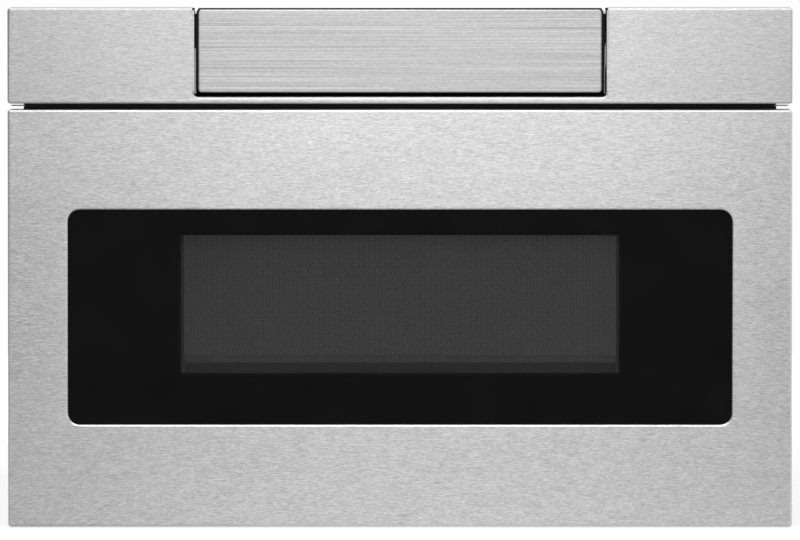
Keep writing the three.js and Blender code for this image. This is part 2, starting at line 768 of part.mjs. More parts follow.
const outerHalf = railHeight / 2;
const middleHalf = outerHalf - railSheet - running;
const innerHalf = middleHalf - railSheet - running;
const innerWeb = armX + armThickness;
const outerLip = innerWeb + 0.8;
const middleWeb = innerX - railSheet - running;
const innerLip = middleWeb - railSheet - running;

// ---------------------------------------------------------------- drawer drive

const shaftPlace = [shaftY, shaftHeight];
const motorPlace = [motorY, shaftHeight];

const driveShaft = () => rod("x", shaftPlace, shaftRadius, [-innerX + 4, innerX - 4]);

const bored = (gear) => cut(gear, rod("x", shaftPlace, shaftRadius + slack, [-sideX, sideX]));

function pinion(s) {
  const teeth = gearOutline(pinionTeeth, toothModule, shaftPlace);
  return bored(prism("x", teeth, span(s, rackX + running, armX - running)));
}

const shaftGear = () =>
  bored(prism("x", gearOutline(shaftGearTeeth, gearModule, shaftPlace), [gearX, gearX + gearWidth]));

function shaftBush(s) {
  const block = box(
    span(s, innerX - 10, innerX),
    [shaftY - 10, shaftY + 10],
    [shaftHeight - 12, shaftHeight + 12],
  );
  return cut(block, rod("x", shaftPlace, shaftRadius + slack, span(s, innerX - 12, innerX - 2)));
}

function motorPinion() {
  const teeth = gearOutline(motorPinionTeeth, gearModule, motorPlace, Math.PI / motorPinionTeeth);
  const stub = rod("x", motorPlace, 3, [gearX + gearWidth - 1, gearX + gearWidth + 14], 12);
  return join(prism("x", teeth, [gearX, gearX + gearWidth]), stub);
}

function driveMotor() {
  const near = gearX + gearWidth + 2;
  const gearbox = rod("x", motorPlace, 18, [near, near + 18], 24);
  const can = rod("x", motorPlace, 15, [near + 17, near + 75], 24);
  const post = box([near + 2, near + 16], [motorY - 13, motorY + 13], [shelfFloor + 1, shaftHeight - 10]);
  const foot = box([near - 2, near + 20], [motorY - 18, motorY + 18], [shelfFloor, shelfFloor + 2]);
  const bore = rod("x", motorPlace, 3 + slack, [near - 1, near + 13], 12);
  return cut(join(gearbox, can, post, foot), bore);
}

// ---------------------------------------------------------------- safety interlock

function interlockSwitch(s) {
  const body = box(
    span(s, hookX[0] - 2, innerX),
    [plungerY - 12, plungerY + 12],
    [switchLow, switchLow + 24],
  );
  const hole = box(
    span(s, hookX[0] + 1 - running, hookX[1] - 1 + running),
    [plungerY - 2 - running, plungerY + 2 + running],
    [switchLow - 1, switchLow + 12],
  );
  const tabs = [-6, 6].map((dy) =>
    box(
      span(s, hookX[0] + 2, hookX[0] + 3),
      [plungerY + dy - 2, plungerY + dy + 2],
      [switchLow + 23, switchLow + 31],
    ),
  );
  return cut(join(body, tabs), hole);
}

function interlockPlunger(s) {
  const z = [hookZ[1] + running, switchLow + 9];
  return box(span(s, hookX[0] + 1, hookX[1] - 1), [plungerY - 2, plungerY + 2], z);
}

// ---------------------------------------------------------------- top panel and tipping control module

// The hole of the module's pivot through everything it passes on one side.
const pivotHole = (s, radius) => rod("x", [pivotY, pivotZ], radius, span(s, shellX - 4, cheekX + 5), 12);

function topPanel() {
  const half = notchX;
  const low = panelBottom + notchWeb;
  const soft = cornerRadius;
  const quarter = Math.PI / 2;
  const face = outline([
    ...arc(-faceX + soft, panelBottom + soft, soft, -2 * quarter, -quarter, 3),
    ...arc(faceX - soft, panelBottom + soft, soft, -quarter, 0, 3),
    ...arc(faceX - soft, panelTop - soft, soft, 0, quarter, 3),
    ...arc(half + soft, panelTop - soft, soft, quarter, 2 * quarter, 3),
    ...arc(half - notchCorner, low + notchCorner, notchCorner, 0, -quarter, 4),
    ...arc(-half + notchCorner, low + notchCorner, notchCorner, -quarter, -2 * quarter, 4),
    ...arc(-half - soft, panelTop - soft, soft, 0, quarter, 3),
    ...arc(-faceX + soft, panelTop - soft, soft, quarter, 2 * quarter, 3),
  ]);
  const behind = [faceY + sheet, 0];
  const insideZ = [panelBottom + sheet, panelTop - sheet];
  const hollow = onBothSides((s) => box(span(s, half - 1, faceX - sheet), behind, insideZ));
  const underNotch = box([-half, half], behind, [insideZ[0], panelTop + 1]);
  const tabY = [faceY + sheet / 2, faceY + 7.2];
  const tabs = onBothSides((s) => box(span(s, half, half + sheet), tabY, [low - sheet, low + 37]));
  const ledge = box([-half - sheet, half + sheet], tabY, [low - sheet, low]);
  const shell = join(cut(softPlate(face, frameFront, edgeRadius), hollow, underNotch), tabs, ledge);
  return cut(shell, onBothSides((s) => pivotHole(s, pinRadius + 0.4)));
}

function moduleCradle() {
  const y = [faceY + 1.7, cradleBack + 2];
  const cheeks = onBothSides((s) => box(span(s, cheekX, cheekX + cheekThickness), y, [cradleFloor, roofZ]));
  const floor = box([-cheekX - 1, cheekX + 1], y, [cradleFloor, cradleFloor + 1.9]);
  const back = box([-cheekX - 1, cheekX + 1], [cradleBack, cradleBack + 2], [cradleFloor, roofZ]);
  const cable = box([-30, 30], [cradleBack - 1, cradleBack + 3], [cradleFloor + 8, cradleFloor + 18]);
  return cut(join(cheeks, floor, back), cable, onBothSides((s) => pivotHole(s, pinRadius + running)));
}

function moduleFascia() {
  const half = fasciaWidth / 2;
  const face = outline(roundedRectangle([-half, half], [fasciaBottom, fasciaTop], fasciaCorner));
  const plate = softPlate(face, faceY + fasciaDepth, sheet);
  const behind = [faceY + sheet, 0];
  const hollow = box([-half + sheet, half - sheet], behind, [fasciaBottom + sheet, fasciaTop + 1]);
  const open = box([-half - 1, half + 1], behind, [fasciaTop - 8, fasciaTop + 1]);
  return cut(plate, hollow, open, onBothSides((s) => pivotHole(s, pinRadius + 0.4)));
}

// A point on the module's sloping top: `along` the slope from its front edge and `down` into the module.
const slopeAngle = THREE.MathUtils.degToRad(keySlope);
const onSlope = (along, down) => [
  faceY + sheet + 0.2 + along * Math.cos(slopeAngle) - down * Math.sin(slopeAngle),
  fasciaTop + 0.9 - along * Math.sin(slopeAngle) - down * Math.cos(slopeAngle),
];

// A slab under the slope between two distances along it and two depths.
const slopeSlab = ([from, to], [high, low], x) =>
  prism("x", outline([onSlope(from, low), onSlope(to, low), onSlope(to, high), onSlope(from, high)]), x);

function keyGlass() {
  const lead = keyThickness * Math.tan(slopeAngle); // keeps the front edge upright
  const plate = outline([
    onSlope(0, 0),
    onSlope(lead, keyThickness),
    onSlope(keyLength, keyThickness),
    onSlope(keyLength, 0),
  ]);
  return prism("x", plate, [-fasciaWidth / 2, fasciaWidth / 2]);
}

function moduleShell() {
  const wall = 2;
  const front = faceY + sheet + 0.2;
  const floor = fasciaBottom + sheet + 0.3;
  const top = keyThickness + running;
  const heel = onSlope(keyLength, top);
  const nose = onSlope(2, top);
  const outer = outline([
    [front, floor],
    [front + 14, floor],
    [heel[0], heel[1] - 12],
    heel,
    nose,
    [front, nose[1]],
  ]);
  const inner = outline([
    [front + wall, floor + wall],
    [front + 13, floor + wall],
    [heel[0] - wall, heel[1] - 11],
    [heel[0] - wall, nose[1] + 5],
    [front + wall, nose[1] + 5],
  ]);
  const rib = outline([
    [front + 1, floor + 1],
    [front + 14, floor + 1],
    [heel[0] - 1, heel[1] - 12],
    onSlope(keyLength - 1, top + 6),
    onSlope(12, top + 6),
    [front + 4, floor + 20],
  ]);
  const innerX = shellX - wall;
  const tray = cut(prism("x", outer, [-shellX, shellX]), prism("x", inner, [-innerX, innerX]));
  const ribs = row(3, 100, (dx) => prism("x", rib, [dx - 1, dx + 1]));
  const pinSpan = [shellX - 1, cheekX + 2.2];
  const pins = onBothSides((s) => rod("x", [pivotY, pivotZ], pinRadius, span(s, ...pinSpan), 12));
  return join(tray, ribs, pins);
}

function controlBoard() {
  const near = keyThickness + 4.4;
  const board = slopeSlab([12, keyLength - 4], [near, near + 1.6], [-shellX + 6, shellX - 6]);
  const display = slopeSlab([18, 34], [keyThickness + 1.2, near + 0.5], [-36, 36]);
  return join(board, display);
}

// ---------------------------------------------------------------- assembly

add("base_plate", basePlate(), galvanised);
add("top_cover", topCover(), galvanised);
add("rear_panel", rearPanel(), galvanised);
add("cord_gland", cordGland(), blackPlastic);
add("front_frame", frontFrame(), blackSteel);
add("oven_cavity", ovenCavity(), cavityPaint);
add("oven_lamp", ovenLamp(), clearGlass);
add("stirrer_dome", stirrerDome(), galvanised);
add("stirrer_blade", stirrerBlade(), brightSteel);
add("stirrer_motor", stirrerMotor(), brightSteel);
add("splatter_cover", splatterCover(), mica);
add("waveguide", waveguide(), galvanised);
add("magnetron", magnetron(), brightSteel);
add("hv_transformer", transformer(), copper);
add("hv_capacitor", capacitor(), brightSteel);
add("power_board", powerBoard(), boardGreen);
add("blower_case", blowerCase(), galvanised);
add("blower_wheel", blowerWheel(), gearPlastic);
add("blower_motor", blowerMotor(), brightSteel);

add("door_skin", doorSkin(), stainless);
add("door_glass", doorGlass(), blackGlass);
add("glass_retainer", glassRetainer(), blackPlastic);
add("choke_frame", chokeFrame(), blackSteel);
add("window_screen", windowScreen(), screenGrey);
add("inner_window", innerWindow(), clearGlass);
add("choke_cover", chokeCover(), blackPlastic);
add("drawer_tub", drawerTub(), cavityPaint);
add("ceramic_tray", ceramicTray(), ceramic);

for (const [side, s] of sides) {
  add(`side_panel_${side}`, sidePanel(s), galvanised);
  add(`latch_hook_${side}`, latchHook(s), blackPlastic);
  add(`drawer_arm_${side}`, drawerArm(s), galvanised);
  add(`rack_${side}`, rack(s), gearPlastic);
  add(`rail_outer_${side}`, slideChannel(s, innerX, outerLip, outerHalf), brightSteel);
  add(`rail_middle_${side}`, slideChannel(s, middleWeb, outerLip, middleHalf), brightSteel);
  add(`rail_inner_${side}`, slideChannel(s, innerWeb, innerLip, innerHalf), brightSteel);
  add(`pinion_${side}`, pinion(s), gearPlastic);
  add(`shaft_bush_${side}`, shaftBush(s), gearPlastic);
  add(`interlock_switch_${side}`, interlockSwitch(s), blackPlastic);
  add(`interlock_plunger_${side}`, interlockPlunger(s), gearPlastic);
}

add("drive_shaft", driveShaft(), brightSteel);
add("shaft_gear", shaftGear(), gearPlastic);
add("motor_pinion", motorPinion(), brightSteel);
add("drive_motor", driveMotor(), brightSteel);

add("top_panel", topPanel(), stainless);
add("module_cradle", moduleCradle(), blackPlastic);
add("module_fascia", moduleFascia(), stainless);
add("module_shell", moduleShell(), blackPlastic);
add("key_glass", keyGlass(), blackGlass);
add("control_board", controlBoard(), boardGreen);

export default root;
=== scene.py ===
import math
from itertools import product

import bmesh
import bpy
from mathutils import Matrix, Vector


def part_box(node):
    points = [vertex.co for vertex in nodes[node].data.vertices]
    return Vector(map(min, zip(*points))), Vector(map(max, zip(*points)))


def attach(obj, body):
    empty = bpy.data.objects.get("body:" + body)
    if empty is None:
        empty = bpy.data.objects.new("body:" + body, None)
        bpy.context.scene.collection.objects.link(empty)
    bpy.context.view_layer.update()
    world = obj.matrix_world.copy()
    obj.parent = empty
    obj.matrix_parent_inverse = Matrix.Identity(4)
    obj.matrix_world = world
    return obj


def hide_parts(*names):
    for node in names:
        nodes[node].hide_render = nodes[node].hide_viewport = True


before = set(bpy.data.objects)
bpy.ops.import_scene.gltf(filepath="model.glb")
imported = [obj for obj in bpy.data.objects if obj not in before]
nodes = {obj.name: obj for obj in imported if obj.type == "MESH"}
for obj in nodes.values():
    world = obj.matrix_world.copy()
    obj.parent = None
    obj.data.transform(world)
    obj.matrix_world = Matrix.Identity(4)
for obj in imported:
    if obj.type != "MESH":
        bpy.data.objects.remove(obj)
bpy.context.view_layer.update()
MM = 0.001

# ---------------------------------------------------------------- casing
# The outer box: base plate, side panels, rear panel and top cover of hot-dip galvanised sheet, sheared and
# folded. The zinc shows its frozen spangle, each grain a little lighter or darker and more or less dull.


class Shade:
    """A socket of a material, so that shader maths can be written as Python expressions."""

    def __init__(self, tree, socket):
        self.tree, self.socket = tree, socket

    def node(self, kind, settings=None, inputs=None, output=0):
        made = self.tree.nodes.new(kind)
        for name, value in (settings or {}).items():
            setattr(made, name, value)
        for name, value in (inputs or {}).items():
            if isinstance(value, Shade):
                self.tree.links.new(value.socket, made.inputs[name])
            else:
                made.inputs[name].default_value = value
        return Shade(self.tree, made.outputs[output])

    def maths(self, operation, *values):
        return self.node("ShaderNodeMath", {"operation": operation}, dict(enumerate(values)))

    def __add__(self, other):
        return self.maths("ADD", self, other)

    def __radd__(self, other):
        return self.maths("ADD", other, self)

    def __sub__(self, other):
        return self.maths("SUBTRACT", self, other)

    def __rsub__(self, other):
        return self.maths("SUBTRACT", other, self)

    def __mul__(self, other):
        return self.maths("MULTIPLY", self, other)

    def __rmul__(self, other):
        return self.maths("MULTIPLY", other, self)

    def __truediv__(self, other):
        return self.maths("DIVIDE", self, other)

    def __gt__(self, other):
        return self.maths("GREATER_THAN", self, other)

    def __lt__(self, other):
        return self.maths("LESS_THAN", self, other)

    def within(self, low, high):
        """1 between two values, 0 outside them."""
        return (self > low) * (self < high)

    def size(self):
        """The number without its sign."""
        return self.maths("ABSOLUTE", self)

    def wave(self, length):
        """A sine between 0 and 1 that repeats after so many metres."""
        return 0.5 + 0.5 * self.maths("SINE", self * (2 * math.pi / length))

    def clamped(self):
        return self.node("ShaderNodeClamp", None, {0: self})

    def axes(self):
        """The three numbers of a place."""
        return [self.node("ShaderNodeSeparateXYZ", None, {0: self}, axis) for axis in range(3)]

    def noise(self, stretch, detail=2.0, roughness=0.5):
        """Cloudy noise on a place, with so many cells to the metre along each axis."""
        scaled = self.node("ShaderNodeVectorMath", {"operation": "MULTIPLY"}, {0: self, 1: stretch})
        inputs = {"Vector": scaled, "Scale": 1.0, "Detail": detail, "Roughness": roughness}
        return self.node("ShaderNodeTexNoise", None, inputs)

    def grains(self, per_metre, output="Color"):
        """Voronoi cells: a random colour for each, or the distance to its middle."""
        return self.node("ShaderNodeTexVoronoi", None, {"Vector": self, "Scale": per_metre}, output)

    def channel(self):
        """The first channel of a colour, as a number."""
        return self.node("ShaderNodeSeparateColor", None, {0: self})

    def mix(self, plain, other):
        """From one colour to another as this number goes from 0 to 1."""
        inputs = {0: self, 6: plain, 7: other}
        return self.node("ShaderNodeMix", {"data_type": "RGBA"}, inputs, 2)

    def bump(self, depth, strength=1.0):
        """This number as a relief `depth` metres deep."""
        return self.node("ShaderNodeBump", None, {"Strength": strength, "Distance": depth, "Height": self})


def new_finish(name, **constants):
    """A material, its surface shader and the place on the object, with the shader's plain values set."""
    material = bpy.data.materials.new(name)
    material.use_nodes = True
    tree = material.node_tree
    surface = tree.nodes["Principled BSDF"]
    for socket, value in constants.items():
        surface.inputs[socket.replace("_", " ")].default_value = value
    coordinates = tree.nodes.new("ShaderNodeTexCoord")
    return material, surface, Shade(tree, coordinates.outputs["Object"])


def feed(surface, **shades):
    for socket, shade in shades.items():
        shade.tree.links.new(shade.socket, surface.inputs[socket.replace("_", " ")])


def grey(value, tint=(1, 1, 1)):
    return (value * tint[0], value * tint[1], value * tint[2], 1)


def galvanised_sheet():
    material, surface, place = new_finish("galvanised_sheet", Metallic=0.75)
    spangle = place.grains(150).channel()
    patches = place.noise((9, 9, 9), 3)
    tone = spangle * 0.6 + patches * 0.4
    feed(
        surface,
        Base_Color=tone.mix(grey(0.35, (0.97, 0.99, 1)), grey(0.48, (0.98, 1, 1.02))),
        Roughness=0.40 + 0.10 * spangle + 0.06 * patches,
        Normal=place.noise((700, 700, 700), 2).bump(0.00004, 0.35),
    )
    return material


def eased_edges():
    """Nodes that join a solid's loose triangles and shade its rounded parts smooth."""
    group = bpy.data.node_groups.new("eased_edges", "GeometryNodeTree")
    for way in ("INPUT", "OUTPUT"):
        group.interface.new_socket("Geometry", in_out=way, socket_type="NodeSocketGeometry")
    link = group.links.new
    start, end = group.nodes.new("NodeGroupInput"), group.nodes.new("NodeGroupOutput")
    weld = group.nodes.new("GeometryNodeMergeByDistance")
    weld.inputs["Distance"].default_value = 1e-6
    angle = group.nodes.new("GeometryNodeInputMeshEdgeAngle")
    sharp = group.nodes.new("FunctionNodeCompare")
    sharp.inputs[1].default_value = math.radians(34)
    faces = group.nodes.new("GeometryNodeSetShadeSmooth")
    edges = group.nodes.new("GeometryNodeSetShadeSmooth")
    edges.domain = "EDGE"
    edges.inputs["Shade Smooth"].default_value = False
    link(start.outputs[0], weld.inputs["Geometry"])
    link(weld.outputs[0], faces.inputs["Geometry"])
    link(faces.outputs[0], edges.inputs["Geometry"])
    link(angle.outputs["Unsigned Angle"], sharp.inputs[0])
    link(sharp.outputs[0], edges.inputs["Selection"])
    link(edges.outputs[0], end.inputs[0])
    return group


smoothing = eased_edges()


def dress(material, names, ease=0.0):
    """Gives solids their finish, and takes their sharp edges off by `ease` metres where it is given."""
    for name in names:
        solid = nodes[name]
        custom = solid.data.attributes.get("custom_normal")
        if custom:
            solid.data.attributes.remove(custom)
        solid.data.materials.clear()
        solid.data.materials.append(material)
        joined = solid.modifiers.new("joined", "NODES")
        joined.node_group = smoothing
        if ease:
            flat = solid.modifiers.new("flat_faces", "DECIMATE")
            flat.decimate_type = "DISSOLVE"
            flat.angle_limit = math.radians(0.5)
            rounded = solid.modifiers.new("edges", "BEVEL")
            rounded.width = ease
            rounded.segments = 2
            rounded.limit_method = "ANGLE"
            rounded.angle_limit = math.radians(50)
            rounded.harden_normals = True
        weighted = solid.modifiers.new("weighted_normals", "WEIGHTED_NORMAL")
        weighted.weight = 100
        weighted.keep_sharp = True


galvanised = galvanised_sheet()
casing = ["base_plate", "side_panel_left", "side_panel_right", "rear_panel", "top_cover"]
dress(galvanised, casing, 0.2 * MM)


def new_piece(name, points, faces, material, body, smooth=False):
    """A piece from its points and faces, placed in the part's own frame and riding on a body."""
    mesh = bpy.data.meshes.new(name)
    mesh.from_pydata([tuple(p) for p in points], [], faces)
    mesh.update()
    if smooth:
        mesh.polygons.foreach_set("use_smooth", [True] * len(mesh.polygons))
        mesh.set_sharp_from_angle(angle=math.radians(35))
    mesh.materials.append(material)
    thing = bpy.data.objects.new(name, mesh)
    bpy.context.scene.collection.objects.link(thing)
    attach(thing, body)
    return thing


# Zinc-plated pan-head screws with a cross recess hold the casing: along the top cover, down the rear panel
# and at the foot of each side panel. Each is left turned its own way.


def zinc_plated():
    material, surface, place = new_finish("zinc_plated_steel", Metallic=1.0)
    mottle = place.noise((300, 300, 300), 3)
    feed(
        surface,
        Base_Color=mottle.mix(grey(0.42, (1, 1, 0.97)), grey(0.62, (1, 1, 0.98))),
        Roughness=0.24 + 0.2 * mottle,
        Normal=place.noise((2500, 2500, 2500), 2).bump(0.00002, 0.4),
    )
    return material


def pan_head(radius, height, recess=0.55):
    """Points and faces of a screw's head that rises along +Z from its seat, with a cross recess."""
    sides = 24
    arm, width, floor = radius * recess, radius * 0.14, height * 0.25
    rings = [(radius, 0.0), (radius, height * 0.45)]
    rings += [(radius * 0.86, height * 0.85), (radius * 0.66, height)]
    points, faces = [], []
    for reach, rise in rings:
        for i in range(sides):
            turn = 2 * math.pi * i / sides
            points.append((reach * math.cos(turn), reach * math.sin(turn), rise))
    for ring in range(len(rings) - 1):
        for i in range(sides):
            j = (i + 1) % sides
            a, b = ring * sides, (ring + 1) * sides
            faces.append((a + i, a + j, b + j, b + i))
    cross = []
    for turn in range(4):
        c, s = math.cos(turn * math.pi / 2), math.sin(turn * math.pi / 2)
        for x, y in ((arm, -width), (arm, width), (width, width)):
            cross.append((x * c - y * s, x * s + y * c))
    top = len(points)
    points += [(x, y, height) for x, y in cross] + [(x * 0.8, y * 0.8, floor) for x, y in cross]
    rim = (len(rings) - 1) * sides
    for turn in range(4):
        corner, start = top + 3 * turn, rim + turn * 6
        outer = [start + step for step in range(-3, 4)]
        outer = [rim + (i - rim) % sides for i in outer]
        tip_low, tip_high, inner = corner, corner + 1, corner + 2
        before = top + (3 * turn - 1) % 12
        faces.append((outer[0], outer[1], outer[2], tip_low, before))
        faces.append((outer[2], outer[3], outer[4], tip_high, tip_low))
        faces.append((outer[4], outer[5], outer[6], inner, tip_high))
    for i in range(12):
        j = (i + 1) % 12
        faces.append((top + i, top + 12 + i, top + 12 + j, top + j))
    faces.append(tuple(top + 12 + i for i in range(12)))
    return points, faces


def screws(name, places, radius, height, material, body):
    """Screws at (point, direction the head faces) as one piece, each turned its own way."""
    head, sides = pan_head(radius, height)
    points, faces = [], []
    for count, (at, facing) in enumerate(places):
        upright = Vector(facing).to_track_quat("Z", "Y").to_matrix().to_4x4()
        seat = Matrix.Translation(at) @ upright @ Matrix.Rotation(count * 2.4, 4, "Z")
        start = len(points)
        points += [seat @ Vector(p) for p in head]
        faces += [tuple(start + i for i in face) for face in sides]
    thing = new_piece(name, points, faces, material, body, smooth=True)


zinc = zinc_plated()
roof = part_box("side_panel_left")[1].z
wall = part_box("top_cover")[1].x
rear_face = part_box("rear_panel")[1].y
cover_top = roof + 1 * MM
cover_column, rear_column = 0.268, 0.269
wall_row, rear_rows = 0.008, (0.361, 0.009)
casing_screws = []
for side in (-1, 1):
    for y in (-0.225, -0.075, 0.075, 0.225):
        casing_screws.append(((side * cover_column, y, cover_top), (0, 0, 1)))
    for y in (-0.24, 0.0, 0.24):
        casing_screws.append(((side * wall, y, wall_row), (side, 0, 0)))
    for z in (0.02, 0.16, 0.3, 0.355):
        casing_screws.append(((side * rear_column, rear_face, z), (0, 1, 0)))
for x in (-0.09, 0.09):
    for z in rear_rows:
        casing_screws.append(((x, rear_face, z), (0, 1, 0)))
screws("casing_screws", casing_screws, 3.6 * MM, 1.7 * MM, zinc, "chassis")

# ---------------------------------------------------------------- front frame and gland
# The front frame is pressed steel in a fine black powder coat; its ears carry the unit on the cabinet. The
# cord's gland in the rear panel and the module's fixed cradle are moulded in black glass-filled plastic.


def powder_coat(name, tone):
    material, surface, place = new_finish(name, Metallic=0.0, Specular_IOR_Level=0.4)
    peel = place.noise((420, 420, 420), 3, 0.6)
    dust = place.noise((30, 30, 30), 2)
    feed(
        surface,
        Base_Color=(peel * 0.6 + dust * 0.4).mix(grey(tone * 0.7), grey(tone * 1.5)),
        Roughness=0.42 + 0.14 * peel,
        Normal=peel.bump(0.00006, 0.5),
    )
    return material


def moulded_plastic(name, colour, gloss=0.42, texture=1600, shine=0.4):
    """Plastic from a spark-eroded mould: a fine even texture and slight flow marks."""
    material, surface, place = new_finish(name, Specular_IOR_Level=shine)
    spark = place.noise((texture, texture, texture), 2)
    flow = place.noise((14, 40, 40), 2)
    light = [min(1, c * 1.12 + 0.004) for c in colour]
    dark = [c * 0.86 for c in colour]
    feed(
        surface,
        Base_Color=(flow * 0.7 + spark * 0.3).mix((*dark, 1), (*light, 1)),
        Roughness=gloss + 0.1 * spark + 0.08 * flow,
        Normal=spark.bump(0.00003, 0.5),
    )
    return material


black_coat = powder_coat("black_powder_coat", 0.012)
black_plastic = moulded_plastic("black_plastic", (0.013, 0.013, 0.014))
white_plastic = moulded_plastic("natural_acetal", (0.74, 0.72, 0.66), 0.34, 900)
dress(black_coat, ["front_frame"], 0.3 * MM)
dress(black_plastic, ["cord_gland", "module_cradle"], 0.3 * MM)

# Two thin plated ears stand out of the frame's edges, level with the air slot. They line the unit up in its
# opening and are the grey lines at the two ends of the slot.

frame_low, frame_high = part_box("front_frame")
slot_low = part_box("door_skin")[1].z
slot_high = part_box("top_panel")[0].z
level = slot_low + 0.52 * (slot_high - slot_low)
half_thick = 0.55 * MM
start, end = frame_high.x - 1.2 * MM, frame_high.x + 9.6 * MM
front, back = frame_low.y - 1.6 * MM, frame_high.y - 0.1 * MM
outline = [(start, back), (start, front), (end - 1.4 * MM, front), (end, front + 0.7 * MM), (end, back)]
count = len(outline)
for side, reach in (("left", -1), ("right", 1)):
    points = [(reach * x, y, level + dz) for dz in (-half_thick, half_thick) for x, y in outline]
    faces = [tuple(range(count)), tuple(range(2 * count - 1, count - 1, -1))]
    faces += [(i, i + count, (i + 1) % count + count, (i + 1) % count) for i in range(count)]
    ear = new_piece(f"slot_ear_{side}", points, faces, zinc, "chassis")
    eased = ear.modifiers.new("edges", "BEVEL")
    eased.width, eased.segments = 0.15 * MM, 2

# Four soft stops on the frame's face: moulded rubber buttons that the drawer front closes against.


def rubber_button(at, radius, height, sides=24):
    """Points and faces of a round button with a domed face, standing forward from its seat."""
    profile = [(radius, 0), (radius, height * 0.5)]
    profile += [(radius * 0.92, height * 0.75), (radius * 0.7, height * 0.93)]
    points = []
    for reach, rise in profile:
        for i in range(sides):
            turn = 2 * math.pi * i / sides
            points.append((at[0] + reach * math.cos(turn), at[1] - rise, at[2] + reach * math.sin(turn)))
    points.append((at[0], at[1] - height, at[2]))
    faces = [
        (r * sides + i, r * sides + (i + 1) % sides, (r + 1) * sides + (i + 1) % sides, (r + 1) * sides + i)
        for r in range(len(profile) - 1)
        for i in range(sides)
    ]
    last = (len(profile) - 1) * sides
    faces += [(last + i, last + (i + 1) % sides, len(points) - 1) for i in range(sides)]
    return points, faces


rubber = moulded_plastic("soft_rubber", (0.03, 0.03, 0.032), 0.62, 700)
stop_columns, stop_rows = (-0.284, 0.284), (0.02, 0.296)
points, faces = [], []
for x, z in product(stop_columns, stop_rows):
    more, sides = rubber_button((x, frame_low.y, z), 5 * MM, 4.4 * MM)
    faces += [tuple(len(points) + i for i in face) for face in sides]
    points += more
stops = new_piece("drawer_stops", points, faces, rubber, "chassis", smooth=True)

# ---------------------------------------------------------------- oven cavity
# The cavity is welded from sheet and enamelled light grey with fine dark specks. Its ceiling carries a mica
# splatter cover; the stirrer's dome and the waveguide above it are plain galvanised sheet.


def speckled_enamel():
    material, surface, place = new_finish("cavity_enamel", Specular_IOR_Level=0.5)
    cells = place.grains(900, "Distance")
    pick = place.grains(900).channel()
    speck = (cells < 0.28) * (pick > 0.62)
    cloud = place.noise((18, 18, 18), 2)
    coat = cloud.mix(grey(0.36, (1, 1, 0.98)), grey(0.44, (1, 1, 0.98)))
    feed(
        surface,
        Base_Color=(speck * 0.8).mix(coat, grey(0.08)),
        Roughness=0.26 + 0.12 * cloud,
        Normal=place.noise((260, 260, 260), 2).bump(0.00005, 0.4),
    )
    return material


def mica_sheet():
    material, surface, place = new_finish("mica_sheet", Specular_IOR_Level=0.6)
    flake = place.grains(260).channel()
    cloud = place.noise((50, 50, 50), 4, 0.6)
    feed(
        surface,
        Base_Color=(flake * 0.6 + cloud * 0.4).mix((0.46, 0.42, 0.34, 1), (0.70, 0.67, 0.58, 1)),
        Roughness=0.3 + 0.3 * flake,
        Normal=flake.bump(0.00004, 0.4),
    )
    return material


enamel = speckled_enamel()
dress(enamel, ["oven_cavity"])
dress(mica_sheet(), ["splatter_cover"], 0.3 * MM)
dress(galvanised, ["stirrer_dome", "waveguide"])

# The stirrer turns under the dome: an aluminium blade on a small geared motor. The lamp sits in a pressed
# holder behind the cavity's right wall, with a clear bulb.


def drawn_metal(name, tone, tint=(1, 1, 1), gloss=0.24, along=2, run=22):
    """Rolled or drawn metal, with faint lines that run along one axis."""
    material, surface, place = new_finish(name, Metallic=1.0)
    stretch = [1100, 1100, 1100]
    stretch[along] = run
    lines = place.noise(tuple(stretch), 3, 0.6)
    cloud = place.noise((40, 40, 40), 2)
    feed(
        surface,
        Base_Color=(lines * 0.6 + cloud * 0.4).mix(grey(tone * 0.86, tint), grey(tone * 1.12, tint)),
        Roughness=gloss + 0.12 * lines + 0.1 * cloud,
        Normal=lines.bump(0.00002, 0.4),
    )
    return material


aluminium = drawn_metal("rolled_aluminium", 0.66, (1, 1, 1.01), 0.26, 0)
plated = drawn_metal("plated_steel", 0.55, (1, 0.995, 0.97), 0.22, 1)
dress(aluminium, ["stirrer_blade"])
dress(plated, ["stirrer_motor"])


def lamp_glass():
    """The bulb end of the lamp is glass and the rest plated steel: the bulb reaches into the cavity."""
    material, surface, place = new_finish("lamp_glass_and_holder", Specular_IOR_Level=0.6)
    bulb = place.axes()[0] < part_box("oven_cavity")[1].x
    fog = place.noise((300, 300, 300), 2)
    feed(
        surface,
        Base_Color=bulb.mix(fog.mix(grey(0.5), grey(0.62)), fog.mix(grey(0.82), grey(0.9))),
        Metallic=1 - bulb,
        Roughness=0.1 + 0.22 * (1 - bulb) + 0.06 * fog,
        Alpha=1 - bulb * (0.45 - 0.1 * fog),
    )
    return material


dress(lamp_glass(), ["oven_lamp"])

# ---------------------------------------------------------------- power parts
# The magnetron's yoke, fins and filter box are plated steel and aluminium with two black ferrite rings. The
# transformer is a stack of varnished iron sheets round two windings of copper wire.


def magnetron_finish():
    """Plated metal, with a dark ferrite ring near the foot and the top of the yoke."""
    material, surface, place = new_finish("magnetron_metal")
    x, _, z = place.axes()
    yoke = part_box("magnetron")[0].z + 30 * MM
    low_ring, high_ring = (yoke + 3 * MM, yoke + 15 * MM), (yoke + 67 * MM, yoke + 79 * MM)
    ring_radius = 40 * MM
    ferrite = (z.within(*low_ring) + z.within(*high_ring)) * (x.size() < ring_radius)
    grain = place.noise((900, 900, 60), 3)
    feed(
        surface,
        Base_Color=ferrite.mix(grain.mix(grey(0.5), grey(0.66)), grain.mix(grey(0.02), grey(0.05))),
        Metallic=1 - ferrite,
        Roughness=0.28 + 0.14 * grain + 0.3 * ferrite,
        Normal=grain.bump(0.00002, 0.3),
    )
    return material


